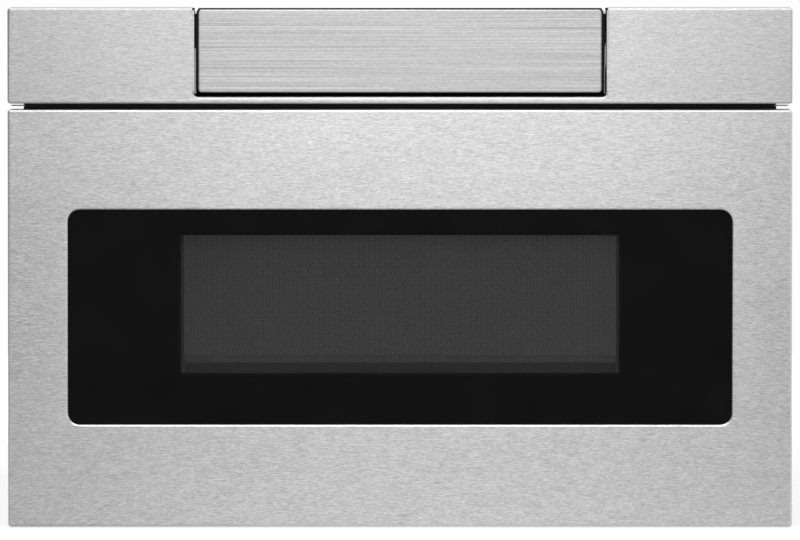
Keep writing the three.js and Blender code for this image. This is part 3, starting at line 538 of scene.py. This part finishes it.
def transformer_finish():
    """Iron sheets, and copper where a winding stands out of the core's front and back."""
    material, surface, place = new_finish("iron_and_copper")
    low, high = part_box("hv_transformer")
    x, y, z = place.axes()
    middle, half_core = (low.y + high.y) / 2, 26.2 * MM
    coil_low, coil_high = 19 * MM, 71 * MM
    sheet, wire = 2 * MM, 1.4 * MM
    winding = ((y - middle).size() > half_core) * z.within(coil_low, coil_high)
    sheets, wires = x.wave(sheet), z.wave(wire)
    varnish = place.noise((90, 90, 90), 3)
    iron = (sheets * 0.5 + varnish * 0.5).mix((0.06, 0.05, 0.045, 1), (0.17, 0.15, 0.13, 1))
    copper = (wires * 0.6 + varnish * 0.4).mix((0.30, 0.09, 0.03, 1), (0.62, 0.24, 0.09, 1))
    feed(
        surface,
        Base_Color=winding.mix(iron, copper),
        Metallic=0.45 + 0.4 * winding,
        Roughness=0.38 + 0.2 * varnish,
        Normal=(winding * wires + (1 - winding) * sheets).bump(0.00025, 0.8),
    )
    return material


dress(magnetron_finish(), ["magnetron"])
dress(transformer_finish(), ["hv_transformer"])
dress(drawn_metal("capacitor_can", 0.6, (1, 1, 1.02), 0.28, 2), ["hv_capacitor"])

# The power board is glass-fibre laminate under green lacquer, with copper traces that show through it. The
# parts that stand on it are black or pale mouldings.


def circuit_board(name, parts_from):
    """Green board with traces; what stands higher than `parts_from` is black or pale, place by place."""
    material, surface, place = new_finish(name, Specular_IOR_Level=0.5)
    tall = place.axes()[2] > parts_from
    patch = place.node("ShaderNodeVectorMath", {"operation": "SNAP"}, {0: place, 1: (0.009, 0.009, 1)})
    kind = patch.node("ShaderNodeTexWhiteNoise", {"noise_dimensions": "3D"}, {"Vector": patch})
    body = (kind > 0.62).mix(grey(0.02), (0.62, 0.6, 0.52, 1))
    trace = place.node("ShaderNodeTexBrick", None, {"Vector": place, "Scale": 160.0, "Mortar Size": 0.07})
    lines = trace.channel()
    lacquer = lines.mix((0.012, 0.11, 0.03, 1), (0.02, 0.17, 0.05, 1))
    cloud = place.noise((400, 400, 400), 2)
    feed(
        surface,
        Base_Color=tall.mix(lacquer, body),
        Roughness=0.32 + 0.2 * cloud + 0.12 * tall,
        Normal=(lines * 0.5 + cloud * 0.5).bump(0.00004, 0.5),
    )
    return material


board_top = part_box("power_board")[0].z + 9.8 * MM
dress(circuit_board("power_board_green", board_top), ["power_board"])

# ---------------------------------------------------------------- blower
# A folded case with a bell mouth at the rear panel, a moulded wheel with forward vanes and a small motor
# with its stack of iron sheets.

dress(galvanised, ["blower_case"])
dress(white_plastic, ["blower_wheel"])
dress(plated, ["blower_motor"])

# ---------------------------------------------------------------- drawer front
# The front is one sheet of stainless steel, folded back at its four edges and brushed across its width, with
# a rolled cut-out for the glass. The brushing leaves short fine strokes that catch the light unevenly.


def brushed_steel(name, seed, lines=0.0, grain=0.75, dull=0.0, shade=1.0, folded=None):
    """Stainless steel brushed along X: `lines` is the share of strokes that run its whole width, `grain` how
    far they draw a highlight out, and `dull` and `shade` set how matt and how bright it is. The folds at the
    foot and the two sides of the node `folded` carry a painted highlight, a band painted brighter."""
    material, surface, place = new_finish(name, Metallic=1.0, Anisotropic=grain, Anisotropic_Rotation=0.25)
    moved = place.node("ShaderNodeVectorMath", {"operation": "ADD"}, {0: place, 1: (seed, seed, seed)})
    strokes = moved.noise((320, 320, 2700), 2, 0.6)
    long_strokes = moved.noise((110, 110, 2300), 2, 0.6)
    cloud = moved.noise((9, 9, 20), 2)
    tone = strokes * 0.6 + long_strokes * 0.4
    if lines:
        tone = tone * (1 - lines) + moved.noise((3, 3, 1300), 2, 0.7) * lines
    tone = (tone - 0.5) * (3.5 + 3.4 * lines) + 0.5 + (cloud - 0.5) * 0.1
    bright = tone.clamped()
    # Painted highlight: the tone is raised in a band along the foot and the two sides of the node's box.
    if folded:
        low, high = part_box(folded)
        x, _, z = place.axes()
        painted_highlight_width = 1.9 * MM
        for inward in (z - low.z, x - low.x, high.x - x):
            bright = bright + (1 - inward / painted_highlight_width).clamped()
    feed(
        surface,
        Base_Color=bright.mix(grey(shade * (0.45 - dull / 2)), grey(shade * (0.77 - dull))),
        Roughness=0.31 + dull + 0.07 * tone,
        Normal=tone.bump(0.00001, 0.25),
    )
    return material


dress(brushed_steel("brushed_drawer_front", 3.1, shade=1.02, folded="door_skin"), ["door_skin"])

# Behind the cut-out stands a tempered pane, printed black on its back except for the window. Its surface is
# polished, with the faintest unevenness of rolled glass.

window_low, window_high = (-169.2 * MM, 106 * MM), (169.2 * MM, 212.8 * MM)
margin_low, margin_high = (-171.8 * MM, 103.4 * MM), (171.8 * MM, 215.4 * MM)


def printed_glass(name, clear=0.0):
    """Glossy black glass, printed on its back; `clear` is what the unprinted window lets through. The face
    in front of the window and its margin is nearly clear, so that only the print on the back is seen. Behind
    the margin the print is painted paler, a painted reflection for the nearly clear face."""
    material, surface, place = new_finish(name, Specular_IOR_Level=0.5)
    x, y, z = place.axes()
    cloud = place.noise((26, 26, 26), 2)
    print_and_painted_reflection = cloud.mix(grey(0.003), grey(0.006))
    if clear:
        window = x.within(window_low[0], window_high[0]) * z.within(window_low[1], window_high[1])
        margin = x.within(margin_low[0], margin_high[0]) * z.within(margin_low[1], margin_high[1])
        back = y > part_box("door_glass")[1].y - 1 * MM
        # Painted reflection: the print behind the margin is a paler grey, where the nearly clear face in
        # front reflects less.
        print_and_painted_reflection = (margin * back * (1 - window)).mix(print_and_painted_reflection, grey(0.011))
        feed(surface, Alpha=1 - margin * (1 - back) * 0.9 - window * back * clear)
    feed(
        surface,
        Base_Color=print_and_painted_reflection,
        Roughness=0.035 + 0.02 * cloud,
        Normal=cloud.bump(0.0001, 0.05),
    )
    return material


dress(printed_glass("printed_door_glass", 0.46), ["door_glass"])
dress(black_plastic, ["glass_retainer"])

# The drawer front's inner sheet closes the cooking space. Over the window it is perforated with small holes,
# drawn six-sided, on a staggered pitch of 2 mm, and it is coated grey.

pitch = 2.0 * MM
column = pitch * math.sqrt(3) / 2
hole = 0.58 * MM
holes_x = 166.2 * MM
holes_z = (119.4 * MM, 212.6 * MM)


def corners(low, high):
    """The four corners of a rectangle, round from its lower left."""
    return [(low[0], low[1]), (high[0], low[1]), (high[0], high[1]), (low[0], high[1])]


def perforated_sheet():
    low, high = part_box("window_screen")
    web = low.y + 0.4 * MM
    points, faces = [], []
    columns = int(holes_x / column) + 1
    rows = int((holes_z[1] - holes_z[0]) / pitch) + 2
    for i in range(-columns, columns + 1):
        for j in range(rows):
            x = i * column
            z = holes_z[0] + (j + (0.5 if i % 2 else 0.0)) * pitch
            start = len(points)
            for reach in (pitch / math.sqrt(3), hole):
                for k in range(6):
                    turn = k * math.pi / 3
                    points.append((x + reach * math.cos(turn), web, z + reach * math.sin(turn)))
            for k in range(6):
                n = (k + 1) % 6
                faces.append((start + k, start + n, start + 6 + n, start + 6 + k))
    inner = corners((-holes_x, holes_z[0]), (holes_x, holes_z[1]))
    outer = corners((low.x, low.z), (high.x, high.z))
    start = len(points)
    for y in (low.y, high.y):
        points += [(x, y, z) for x, z in inner] + [(x, y, z) for x, z in outer]
    for k in range(4):
        n = (k + 1) % 4
        faces.append((start + k, start + 4 + k, start + 4 + n, start + n))
        faces.append((start + 8 + n, start + 12 + n, start + 12 + k, start + 8 + k))
        faces.append((start + k, start + n, start + 8 + n, start + 8 + k))
        faces.append((start + 4 + n, start + 4 + k, start + 12 + k, start + 12 + n))
    return points, faces


def coated_screen():
    """Grey coat with painted light: paler where the holes are than on the strip below them, most of all at
    their foot, at the right and at the top edge.
    """
    material, surface, place = new_finish("coated_screen", Specular_IOR_Level=0.3)
    mottle = place.noise((240, 240, 240), 2)
    cloud = place.noise((16, 16, 16), 1)
    x, _, z = place.axes()
    perforated = z > holes_z[0] + 0.2 * MM
    painted_light_rightward = ((x + 0.17) / 0.15).clamped()
    # Painted light: paler where the holes are than on the strip below them, and paler towards their foot and
    # to the right.
    rows = perforated * (0.32 - 0.9 * (z - holes_z[0]) + painted_light_rightward * 0.09)
    # Painted light along the top edge, against the shadow that the glass's print casts there.
    painted_light_at_top = ((z - 208 * MM) / (4.6 * MM)).clamped()
    pale = mottle * 0.16 + cloud * 0.1 + rows + painted_light_at_top * painted_light_at_top * 0.9
    feed(
        surface,
        Base_Color=pale.mix(grey(0.185), grey(0.54)),
        Roughness=0.5 + 0.15 * mottle,
        Normal=mottle.bump(0.00003, 0.4),
    )
    return material


screen_grey = coated_screen()
screen = new_piece("perforated_screen", *perforated_sheet(), screen_grey, "drawer")
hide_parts("window_screen")

# A dark frame lines the hole between the pane and the inner sheet. Its sides are steep and carry painted
# light, and its lower side is a ledge that slopes forward, which shows through the glass as a darker band
# under the holes, together with the screen's strip below the holes, which is left without the holes' painted
# light.

lining_half = 167.0


def window_frame():
    air = 0.05 * MM
    front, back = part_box("door_glass")[1].y + air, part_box("window_screen")[0].y - air
    outer = corners((-171.9, 103.3), (171.9, 215.5))
    mouth = corners((-169.3, 105.9), (169.3, 212.9))
    ledge = corners((-lining_half, 113.6), (lining_half, 212.5))
    rings = [(outer, back), (outer, front), (mouth, front), (ledge, back - 1.2 * MM), (ledge, back)]
    points = [(x * MM, y, z * MM) for ring, y in rings for x, z in ring]
    faces = []
    for r in range(len(rings)):
        a, b = 4 * r, 4 * ((r + 1) % len(rings))
        faces += [(a + k, a + (k + 1) % 4, b + (k + 1) % 4, b + k) for k in range(4)]
    return points, faces


def lining_coat():
    """Matt grey coat, with painted light on the two steep sides, which are paler than the ledge."""
    material, surface, place = new_finish("grey_lining", Specular_IOR_Level=0.4)
    spark = place.noise((1600, 1600, 1600), 2)
    between = (lining_half - 0.05) * MM
    # Painted light: the two steep sides are paler than the ledge.
    sides = 1 - place.axes()[0].within(-between, between)
    feed(
        surface,
        Base_Color=(spark * 0.15 + sides * 0.8).mix(grey(0.066), grey(0.165)),
        Roughness=0.5 + 0.15 * spark,
        Normal=spark.bump(0.00003, 0.5),
    )
    return material


grey_lining = lining_coat()
lining = new_piece("window_lining", *window_frame(), grey_lining, "drawer")

# The inner pane is clear tempered glass, bonded over the screen on the oven side. The choke's channel and
# the drawer's inner frame are coated black, and the choke is covered by a moulded ring.


def clear_pane():
    material, surface, place = new_finish("clear_pane", Specular_IOR_Level=0.5, Alpha=0.14)
    smear = place.noise((12, 12, 40), 3)
    feed(
        surface,
        Base_Color=smear.mix((0.02, 0.03, 0.028, 1), (0.05, 0.065, 0.06, 1)),
        Roughness=0.03 + 0.08 * smear,
    )
    return material


dress(clear_pane(), ["inner_window"])
dress(powder_coat("inner_frame_coat", 0.016), ["choke_frame"], 0.25 * MM)
dress(moulded_plastic("choke_cover_plastic", (0.02, 0.02, 0.021), 0.36, 1200), ["choke_cover"], 0.4 * MM)

# ---------------------------------------------------------------- drawer box
# The tub is deep-drawn and enamelled like the cavity. A white glazed ceramic tray lies in it, and side arms
# of galvanised steel join the front to the slides. The latch hooks are black plastic.


def glazed_ceramic():
    material, surface, place = new_finish("glazed_ceramic", Specular_IOR_Level=0.55)
    cloud = place.noise((10, 10, 10), 3)
    speck = place.grains(420, "Distance") < 0.07
    glaze = cloud.mix((0.74, 0.73, 0.69, 1), (0.82, 0.81, 0.78, 1))
    feed(
        surface,
        Base_Color=(speck * 0.5).mix(glaze, (0.42, 0.38, 0.32, 1)),
        Roughness=0.14 + 0.08 * cloud,
        Normal=place.noise((120, 120, 120), 2).bump(0.00005, 0.3),
    )
    return material


dress(enamel, ["drawer_tub"], 0.35 * MM)
dress(glazed_ceramic(), ["ceramic_tray"], 0.8 * MM)
dress(galvanised, ["drawer_arm_left", "drawer_arm_right"], 0.25 * MM)
dress(black_plastic, ["latch_hook_left", "latch_hook_right"], 0.3 * MM)

arm_row = 0.112
arm_screws = []
for side, reach in (("left", -1), ("right", 1)):
    low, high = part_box(f"drawer_arm_{side}")
    inside = low.x if reach > 0 else high.x
    for y in (-0.262, -0.10, 0.05, 0.155):
        arm_screws.append(((inside, y, arm_row), (-reach, 0, 0)))
screws("arm_screws", arm_screws, 3.2 * MM, 1.3 * MM, zinc, "drawer")

# ---------------------------------------------------------------- slides, racks and drive
# Three-member slides of cold-rolled zinc-plated steel, with a film of grease. The racks, pinions and bushes
# are natural acetal, and the cross shaft, motor and motor pinion are steel.

slides = [f"rail_{member}_{side}" for member in ("outer", "middle", "inner") for side in ("left", "right")]
dress(drawn_metal("slide_steel", 0.56, (1, 1, 0.985), 0.2, 1, 9), slides, 0.25 * MM)
dress(white_plastic, ["rack_left", "rack_right", "pinion_left", "pinion_right", "shaft_gear"])
dress(white_plastic, ["shaft_bush_left", "shaft_bush_right"], 0.4 * MM)
dress(drawn_metal("turned_shaft", 0.6, (1, 1, 1), 0.18, 0), ["drive_shaft", "motor_pinion"])
dress(plated, ["drive_motor"])

# ---------------------------------------------------------------- safety interlock
# A switch on each side of the opening, in a black moulded body, and its white plunger that the drawer's hook
# presses when the drawer is shut.

dress(black_plastic, ["interlock_switch_left", "interlock_switch_right"], 0.3 * MM)
dress(white_plastic, ["interlock_plunger_left", "interlock_plunger_right"])

# ---------------------------------------------------------------- top panel and control module
# The top panel is folded from the same stainless sheet as the drawer front, with a recess in its middle. The
# module's fascia fills that recess; it is brushed in long straight lines.

# The top panel's steel is the drawer front's painted darker (shade 0.91 against 1.02) as painted shade, and a
# little more matt.
dress(brushed_steel("brushed_top_panel", 7.7, dull=0.06, shade=0.91, folded="top_panel"), ["top_panel"])
dress(brushed_steel("brushed_fascia", 5.3, 0.58, 0.5, 0.15, 0.99), ["module_fascia"])
dress(black_plastic, ["module_shell"], 0.3 * MM)
dress(printed_glass("printed_key_glass"), ["key_glass"], 0.12 * MM)
over_everything = 1.0
dress(circuit_board("control_board_green", over_everything), ["control_board"])

# A black moulded rim frames the fascia: a fine lip over its top edge, wrapped down round its corners, and
# a wider flank on each side that closes the gap to the panel. It is clipped to the module and tips with it.


def module_rim():
    """Stations up one side and round its corner, each with an inner and an outer point and the depth of the
    rim there, then the same mirrored; five points to a station, joined into one closed band."""
    low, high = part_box("module_fascia")
    half, top, radius = high.x, high.z, 2.7 * MM
    front, soft = low.y + 0.5 * MM, 0.25 * MM
    gap, narrow, wide, lip, depth = 0.03, 1.3, 2.4, 1.15, 5.5
    flank = [(low.z + 3 * MM, narrow), (low.z + 34.6 * MM, narrow), (low.z + 36.2 * MM, wide)]
    flank += [(top - 4.2 * MM, wide), (top - 3.8 * MM, lip + 0.1), (top - radius, lip)]
    stations = [((half + gap * MM, z), (half + reach * MM, z), low.y + depth * MM) for z, reach in flank]
    steps = 8
    for step in range(1, steps + 1):
        share = step / steps
        c, s = math.cos(math.radians(90 * share)), math.sin(math.radians(90 * share))
        reaches = (radius + (gap - 0.6 * share) * MM, radius + (lip - 0.2 * share) * MM)
        inner, outer = ((half - radius + reach * c, top - radius + reach * s) for reach in reaches)
        stations.append((inner, outer, low.y + (depth - 4.3 * min(1, share * 1.6)) * MM))
    stations += [((-a[0], a[1]), (-b[0], b[1]), back) for a, b, back in reversed(stations)]
    points, faces = [], []
    for inner, outer, back in stations:
        edge = [outer[i] * 0.8 + inner[i] * 0.2 for i in (0, 1)]
        points += [(inner[0], front, inner[1]), (edge[0], front, edge[1])]
        points += [(outer[0], front + soft, outer[1]), (outer[0], back, outer[1]), (inner[0], back, inner[1])]
    count = len(stations)
    for i in range(count - 1):
        for k in range(5):
            a, b = 5 * i, 5 * (i + 1)
            faces.append((a + k, b + k, b + (k + 1) % 5, a + (k + 1) % 5))
    faces += [tuple(range(4, -1, -1)), tuple(range(5 * count - 5, 5 * count))]
    return points, faces


rim_black = moulded_plastic("module_rim_black", (0.005, 0.005, 0.005), 0.55, 1800, 0.12)
rim = new_piece("module_rim", *module_rim(), rim_black, "control_module", smooth=True)

# The panel's recess is hemmed along its two upright edges. Behind each hem return tabs are folded in, matt
# and painted darker as shade; a soft pad closes the hem's top end, black blocks under it and, on the right,
# up the hem's inner edge are put in as painted shade, and a black fin stands on the cradle, so that no light
# passes the module.


def blocks(name, pairs, material, ease):
    """Blocks between pairs of corners in millimetres, joined into one piece with eased edges."""
    points, faces = [], []
    for low, high in pairs:
        spans = [sorted(pair) for pair in zip(low, high)]
        start = len(points)
        points += [tuple(value * MM for value in corner) for corner in product(*spans)]
        sides = [(0, 1, 3, 2), (4, 6, 7, 5), (0, 4, 5, 1), (2, 3, 7, 6), (0, 2, 6, 4), (1, 5, 7, 3)]
        faces += [tuple(start + i for i in side) for side in sides]
    thing = new_piece(name, points, faces, material, "chassis")
    eased = thing.modifiers.new("edges", "BEVEL")
    eased.width, eased.segments = ease * MM, 3


# The hems carry the top panel's steel with its painted shade.
hem_steel = brushed_steel("brushed_hem", 7.7, dull=0.06, shade=0.91)
# The return tabs are the panel's steel painted darker and made more matt: painted shade in the recess.
shaded_tab_steel = brushed_steel("shaded_return_tab", 2.2, dull=0.3)
face, floor_z, roof_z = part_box("top_panel")[0].y / MM, slot_high / MM + 5.1, roof / MM
hem_outer, hem_top, pad_outer, pad_top, tab_outer = 160.5, 387, 160.45, 388.6, 159.42
fin_front, fin_back, fin_top, foot_top = -300, -286, 383.6, 373

# In millimetres for each side: its direction, the inner edges of its hem and of the painted-shade block under
# its pad, and the inner edge and the top of each tab.
recess = {
    "left": (-1, 158.95, 158.5, [(157.5, 357.4)]),
    "right": (1, 159.7, 158.7, [(157.6, 343.7), (157.95, 361.1)]),
}
for side, (reach, hem_inner, foot_inner, tabs) in recess.items():
    hem = ((reach * hem_inner, face + 0.012, floor_z + 4.4), (reach * hem_outer, face + 1.0, hem_top))
    blocks(f"recess_hem_{side}", [hem], hem_steel, 0.04)
    folds = []
    for i, (tab_inner, tab_top) in enumerate(tabs):
        tab_back = face + 7 + 0.1 * i
        folds.append(((reach * tab_inner, face + 2.7, floor_z + 2.6), (reach * tab_outer, tab_back, tab_top)))
    blocks(f"recess_tab_{side}", folds, shaded_tab_steel, 0.2)
    back, foot_outer = face + 1.4, hem_inner + 0.1
    pad = ((reach * 158.4, face + 0.005, hem_top - 0.2), (reach * pad_outer, back, pad_top))
    # Under the pad a black block is put in the gap as painted shade.
    painted_shade_foot = ((reach * foot_inner, face + 0.3, 382.8), (reach * foot_outer, back, hem_top + 0.2))
    pads = [pad, painted_shade_foot]
    # On the right a thin black strip up the hem's inner edge is painted shade for the gap.
    if side == "right":
        shade_strip_inner, shade_strip_outer = reach * (hem_inner - 0.55), reach * (hem_inner - 0.05)
        pads.append(((shade_strip_inner, face + 0.05, floor_z + 4.2), (shade_strip_outer, face + 1.6, 383.5)))
    blocks(f"recess_pad_{side}", pads, rim_black, 0.08)
    fin = ((reach * 157.2, fin_front, roof_z + 0.1), (reach * 163.2, fin_back, fin_top))
    foot = ((reach * 160.95, fin_front - 2, roof_z + 0.02), (reach * 163.3, fin_back + 1.6, foot_top))
    blocks(f"cradle_fin_{side}", [fin, foot], rim_black, 0.3)

# Pale printing on the key glass: a block of digits, a clock in the middle and four plain symbols. It faces
# the user when the module is tipped forward.


def key_ink():
    material, surface, place = new_finish("key_ink", Roughness=0.35)
    wear = place.noise((900, 900, 900), 2)
    feed(surface, Base_Color=wear.mix(grey(0.52), grey(0.72)))
    return material


ink = key_ink()
slope = math.radians(28.4)
glass_low, glass_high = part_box("key_glass")
slope_start = Vector((0, glass_low.y, glass_high.z))
along = Vector((0, math.cos(slope), -math.sin(slope)))
outward = Vector((0, math.sin(slope), math.cos(slope)))


def on_slope(x, up):
    """A place on the key glass: across, and so far from its front edge, which is up as the keys are read."""
    return slope_start + Vector((x, 0, 0)) + along * up + outward * 0.04 * MM


def legend(name, body_text, x, up, size):
    text = bpy.data.curves.new(name, "FONT")
    text.body, text.size = body_text, size
    text.align_x, text.align_y = "CENTER", "CENTER"
    text.materials.append(ink)
    thing = bpy.data.objects.new(name, text)
    bpy.context.scene.collection.objects.link(thing)
    turn = Matrix((Vector((1, 0, 0)), along, outward)).transposed().to_4x4()
    thing.matrix_world = Matrix.Translation(on_slope(x, up)) @ turn
    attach(thing, "control_module")


first_key, first_row, key_pitch = -128, 15, 17
for row, digits in enumerate(("67890", "12345")):
    for column, digit in enumerate(digits):
        across, up = (first_key + key_pitch * column) * MM, (first_row + key_pitch * row) * MM
        legend(f"key_{digit}", digit, across, up, 7.5 * MM)
legend("clock_digits", "12:00", 0, 24 * MM, 11 * MM)


def key_marks():
    """Open rings round the four symbols, and the symbols: start, stop, drawer out and drawer in."""
    points, faces = [], []

    def flat(shape, x, up):
        start = len(points)
        points.extend(on_slope(x + a, up + b) for a, b in shape)
        faces.append(tuple(range(start, start + len(shape))))

    def ring(x, up, radius, width=0.35 * MM, sides=40):
        start = len(points)
        for reach in (radius, radius - width):
            for i in range(sides):
                turn = 2 * math.pi * i / sides
                points.append(on_slope(x + reach * math.cos(turn), up + reach * math.sin(turn)))
        for i in range(sides):
            j = (i + 1) % sides
            faces.append((start + i, start + j, start + sides + j, start + sides + i))

    up, size = 24 * MM, 3.2 * MM
    start_x, stop_x, out_x, in_x = marks_x = [x * MM for x in (70, 92, 114, 136)]
    for x in marks_x:
        ring(x, up, 8 * MM)
    side = size * 0.8
    near, far = size * 0.6, size * 0.9
    flat([(-size * 0.7, -size), (size, 0), (-size * 0.7, size)], start_x, up)
    flat([(-side, -side), (side, -side), (side, side), (-side, side)], stop_x, up)
    flat([(-size, size * 0.3), (0, -size), (size, size * 0.3)], out_x, up)
    flat([(-size, far), (-size, near), (size, near), (size, far)], out_x, up)
    flat([(size, -size * 0.3), (0, size), (-size, -size * 0.3)], in_x, up)
    flat([(-size, -near), (-size, -far), (size, -far), (size, -near)], in_x, up)
    return points, faces


marks = new_piece("key_marks", *key_marks(), ink, "control_module")

# ---------------------------------------------------------------- studio
# A white shelf under the chassis stands on a white floor, and the drawer front hangs before it, a millimetre
# over the floor. A broad soft box overhead whitens the folded top edges, and a weaker one stands in front.


def studio_white(name, shadow=0.5):
    """A white that the camera sees near full white and that still keeps a shadow, which thins out away from
    the unit. Metal and glass see it greyer, most of all off to the sides, and more before the unit than under
    it."""
    material = bpy.data.materials.new(name)
    material.use_nodes = True
    tree = material.node_tree
    tree.nodes.clear()
    output = tree.nodes.new("ShaderNodeOutputMaterial")
    rays = tree.nodes.new("ShaderNodeLightPath")
    kinds = ("Camera", "Glossy", "Transmission")
    camera, glossy, through = (Shade(tree, rays.outputs[f"Is {kind} Ray"]) for kind in kinds)
    seen = (camera + glossy + through).clamped()
    place = Shade(tree, tree.nodes.new("ShaderNodeTexCoord").outputs["Object"])
    across, deep, _ = place.axes()
    brightest, before_unit = 0.05, -0.4
    middle = (1 - (across - brightest) * (across - brightest) * 7).clamped()
    fall = middle * (0.302 + (deep > before_unit) * 0.16)
    away = place.node("ShaderNodeVectorMath", {"operation": "LENGTH"}, {0: place}, 1)
    far = ((away - 0.7) / 0.4).clamped()
    plain = seen.node("ShaderNodeBsdfDiffuse", None, {"Color": grey(0.6)})
    strength = 1.5 - glossy * (1.1 - fall)
    glow = seen.node("ShaderNodeEmission", None, {"Color": grey(1.0), "Strength": strength})
    share = seen * (1 - shadow + shadow * far)
    mixed = seen.node("ShaderNodeMixShader", None, {0: share, 1: plain, 2: glow})
    tree.links.new(mixed.socket, output.inputs["Surface"])
    return material


white = studio_white("studio_white")


def stage_slab(name, low, high):
    block = bmesh.new()
    bmesh.ops.create_cube(block, size=1.0)
    for vertex in block.verts:
        vertex.co = Vector(a + (c + 0.5) * (b - a) for a, b, c in zip(low, high, vertex.co))
    mesh = bpy.data.meshes.new(name)
    block.to_mesh(mesh)
    block.free()
    mesh.materials.append(white)
    slab = bpy.data.objects.new(name, mesh)
    bpy.context.scene.collection.objects.link(slab)


floor_top, clearance = -0.014, 0.0002
stage_slab("floor", (-3, -1.15, floor_top - 0.02), (3, 1.9, floor_top))
stage_slab("shelf", (-0.277, -0.281, floor_top), (0.277, 0.282, -clearance))

# The world is white. Metal and glass see it nearly black straight ahead, which keeps the glass dark, a little
# dimmer all over the front, and darker off to the left. Dull surfaces get half of its light.

world = bpy.data.worlds.new("studio")
bpy.context.scene.world = world
world.use_nodes = True
sky = world.node_tree
sky.nodes.clear()
direction = Shade(sky, sky.nodes.new("ShaderNodeTexCoord").outputs["Generated"])
paths = sky.nodes.new("ShaderNodeLightPath")
glossy = Shade(sky, paths.outputs["Is Glossy Ray"])
diffuse = Shade(sky, paths.outputs["Is Diffuse Ray"])
ahead, leftward = (
    direction.node("ShaderNodeVectorMath", {"operation": "DOT_PRODUCT"}, {0: direction, 1: way}, 1)
    for way in ((0, -1, 0), (-1, 0, 0))
)
darkest, edge_of_dark = math.cos(math.radians(8)), math.cos(math.radians(17))
dark_zone = ((ahead - edge_of_dark) / (darkest - edge_of_dark)).clamped()
left_wing = ((leftward - 0.25) / 0.4).clamped()
dim_front = ((ahead - 0.3) / 0.7).clamped()
dimmed = (1 - dark_zone * 0.93) * (1 - left_wing * 0.7) * (1 - dim_front * 0.25)
strength = (1 - diffuse * 0.5) * (1 - glossy * (1 - dimmed))
background = direction.node("ShaderNodeBackground", None, {"Color": grey(1.0), "Strength": strength})
outdoors = sky.nodes.new("ShaderNodeOutputWorld")
sky.links.new(background.socket, outdoors.inputs["Surface"])


def soft_box(name, at, towards, size, power):
    light = bpy.data.lights.new(name, "AREA")
    light.shape = "RECTANGLE"
    light.size, light.size_y = size
    light.energy = power
    lamp = bpy.data.objects.new(name, light)
    bpy.context.scene.collection.objects.link(lamp)
    lamp.location = at
    lamp.rotation_euler = (Vector(towards) - Vector(at)).to_track_quat("-Z", "Y").to_euler()
    lamp.visible_camera = False


unit_middle, front_middle = (0, -0.1, 0.2), (0, -0.31, 0.25)
soft_box("overhead_box", (0, -0.6, 2.4), unit_middle, (3.0, 3.2), 36)
soft_box("front_box", (0.02, -1.8, 1.0), front_middle, (0.66, 0.6), 7.4)

# The camera stands straight in front, three degrees above the level of the unit, far off with a long lens.

distance, rise = 8.0, math.radians(3.0)
picture_width, target = 0.6184, Vector((0, -0.3115, 0.186))
view = bpy.data.cameras.new("camera")
view.sensor_width = 36
view.lens = view.sensor_width * distance / picture_width
view.clip_end = 100
camera = bpy.data.objects.new("camera", view)
bpy.context.scene.collection.objects.link(camera)
camera.location = target + Vector((0, -math.cos(rise), math.sin(rise))) * distance
camera.rotation_euler = (target - camera.location).to_track_quat("-Z", "Y").to_euler()
bpy.context.scene.camera = camera

bpy.context.scene.view_settings.view_transform = "Standard"
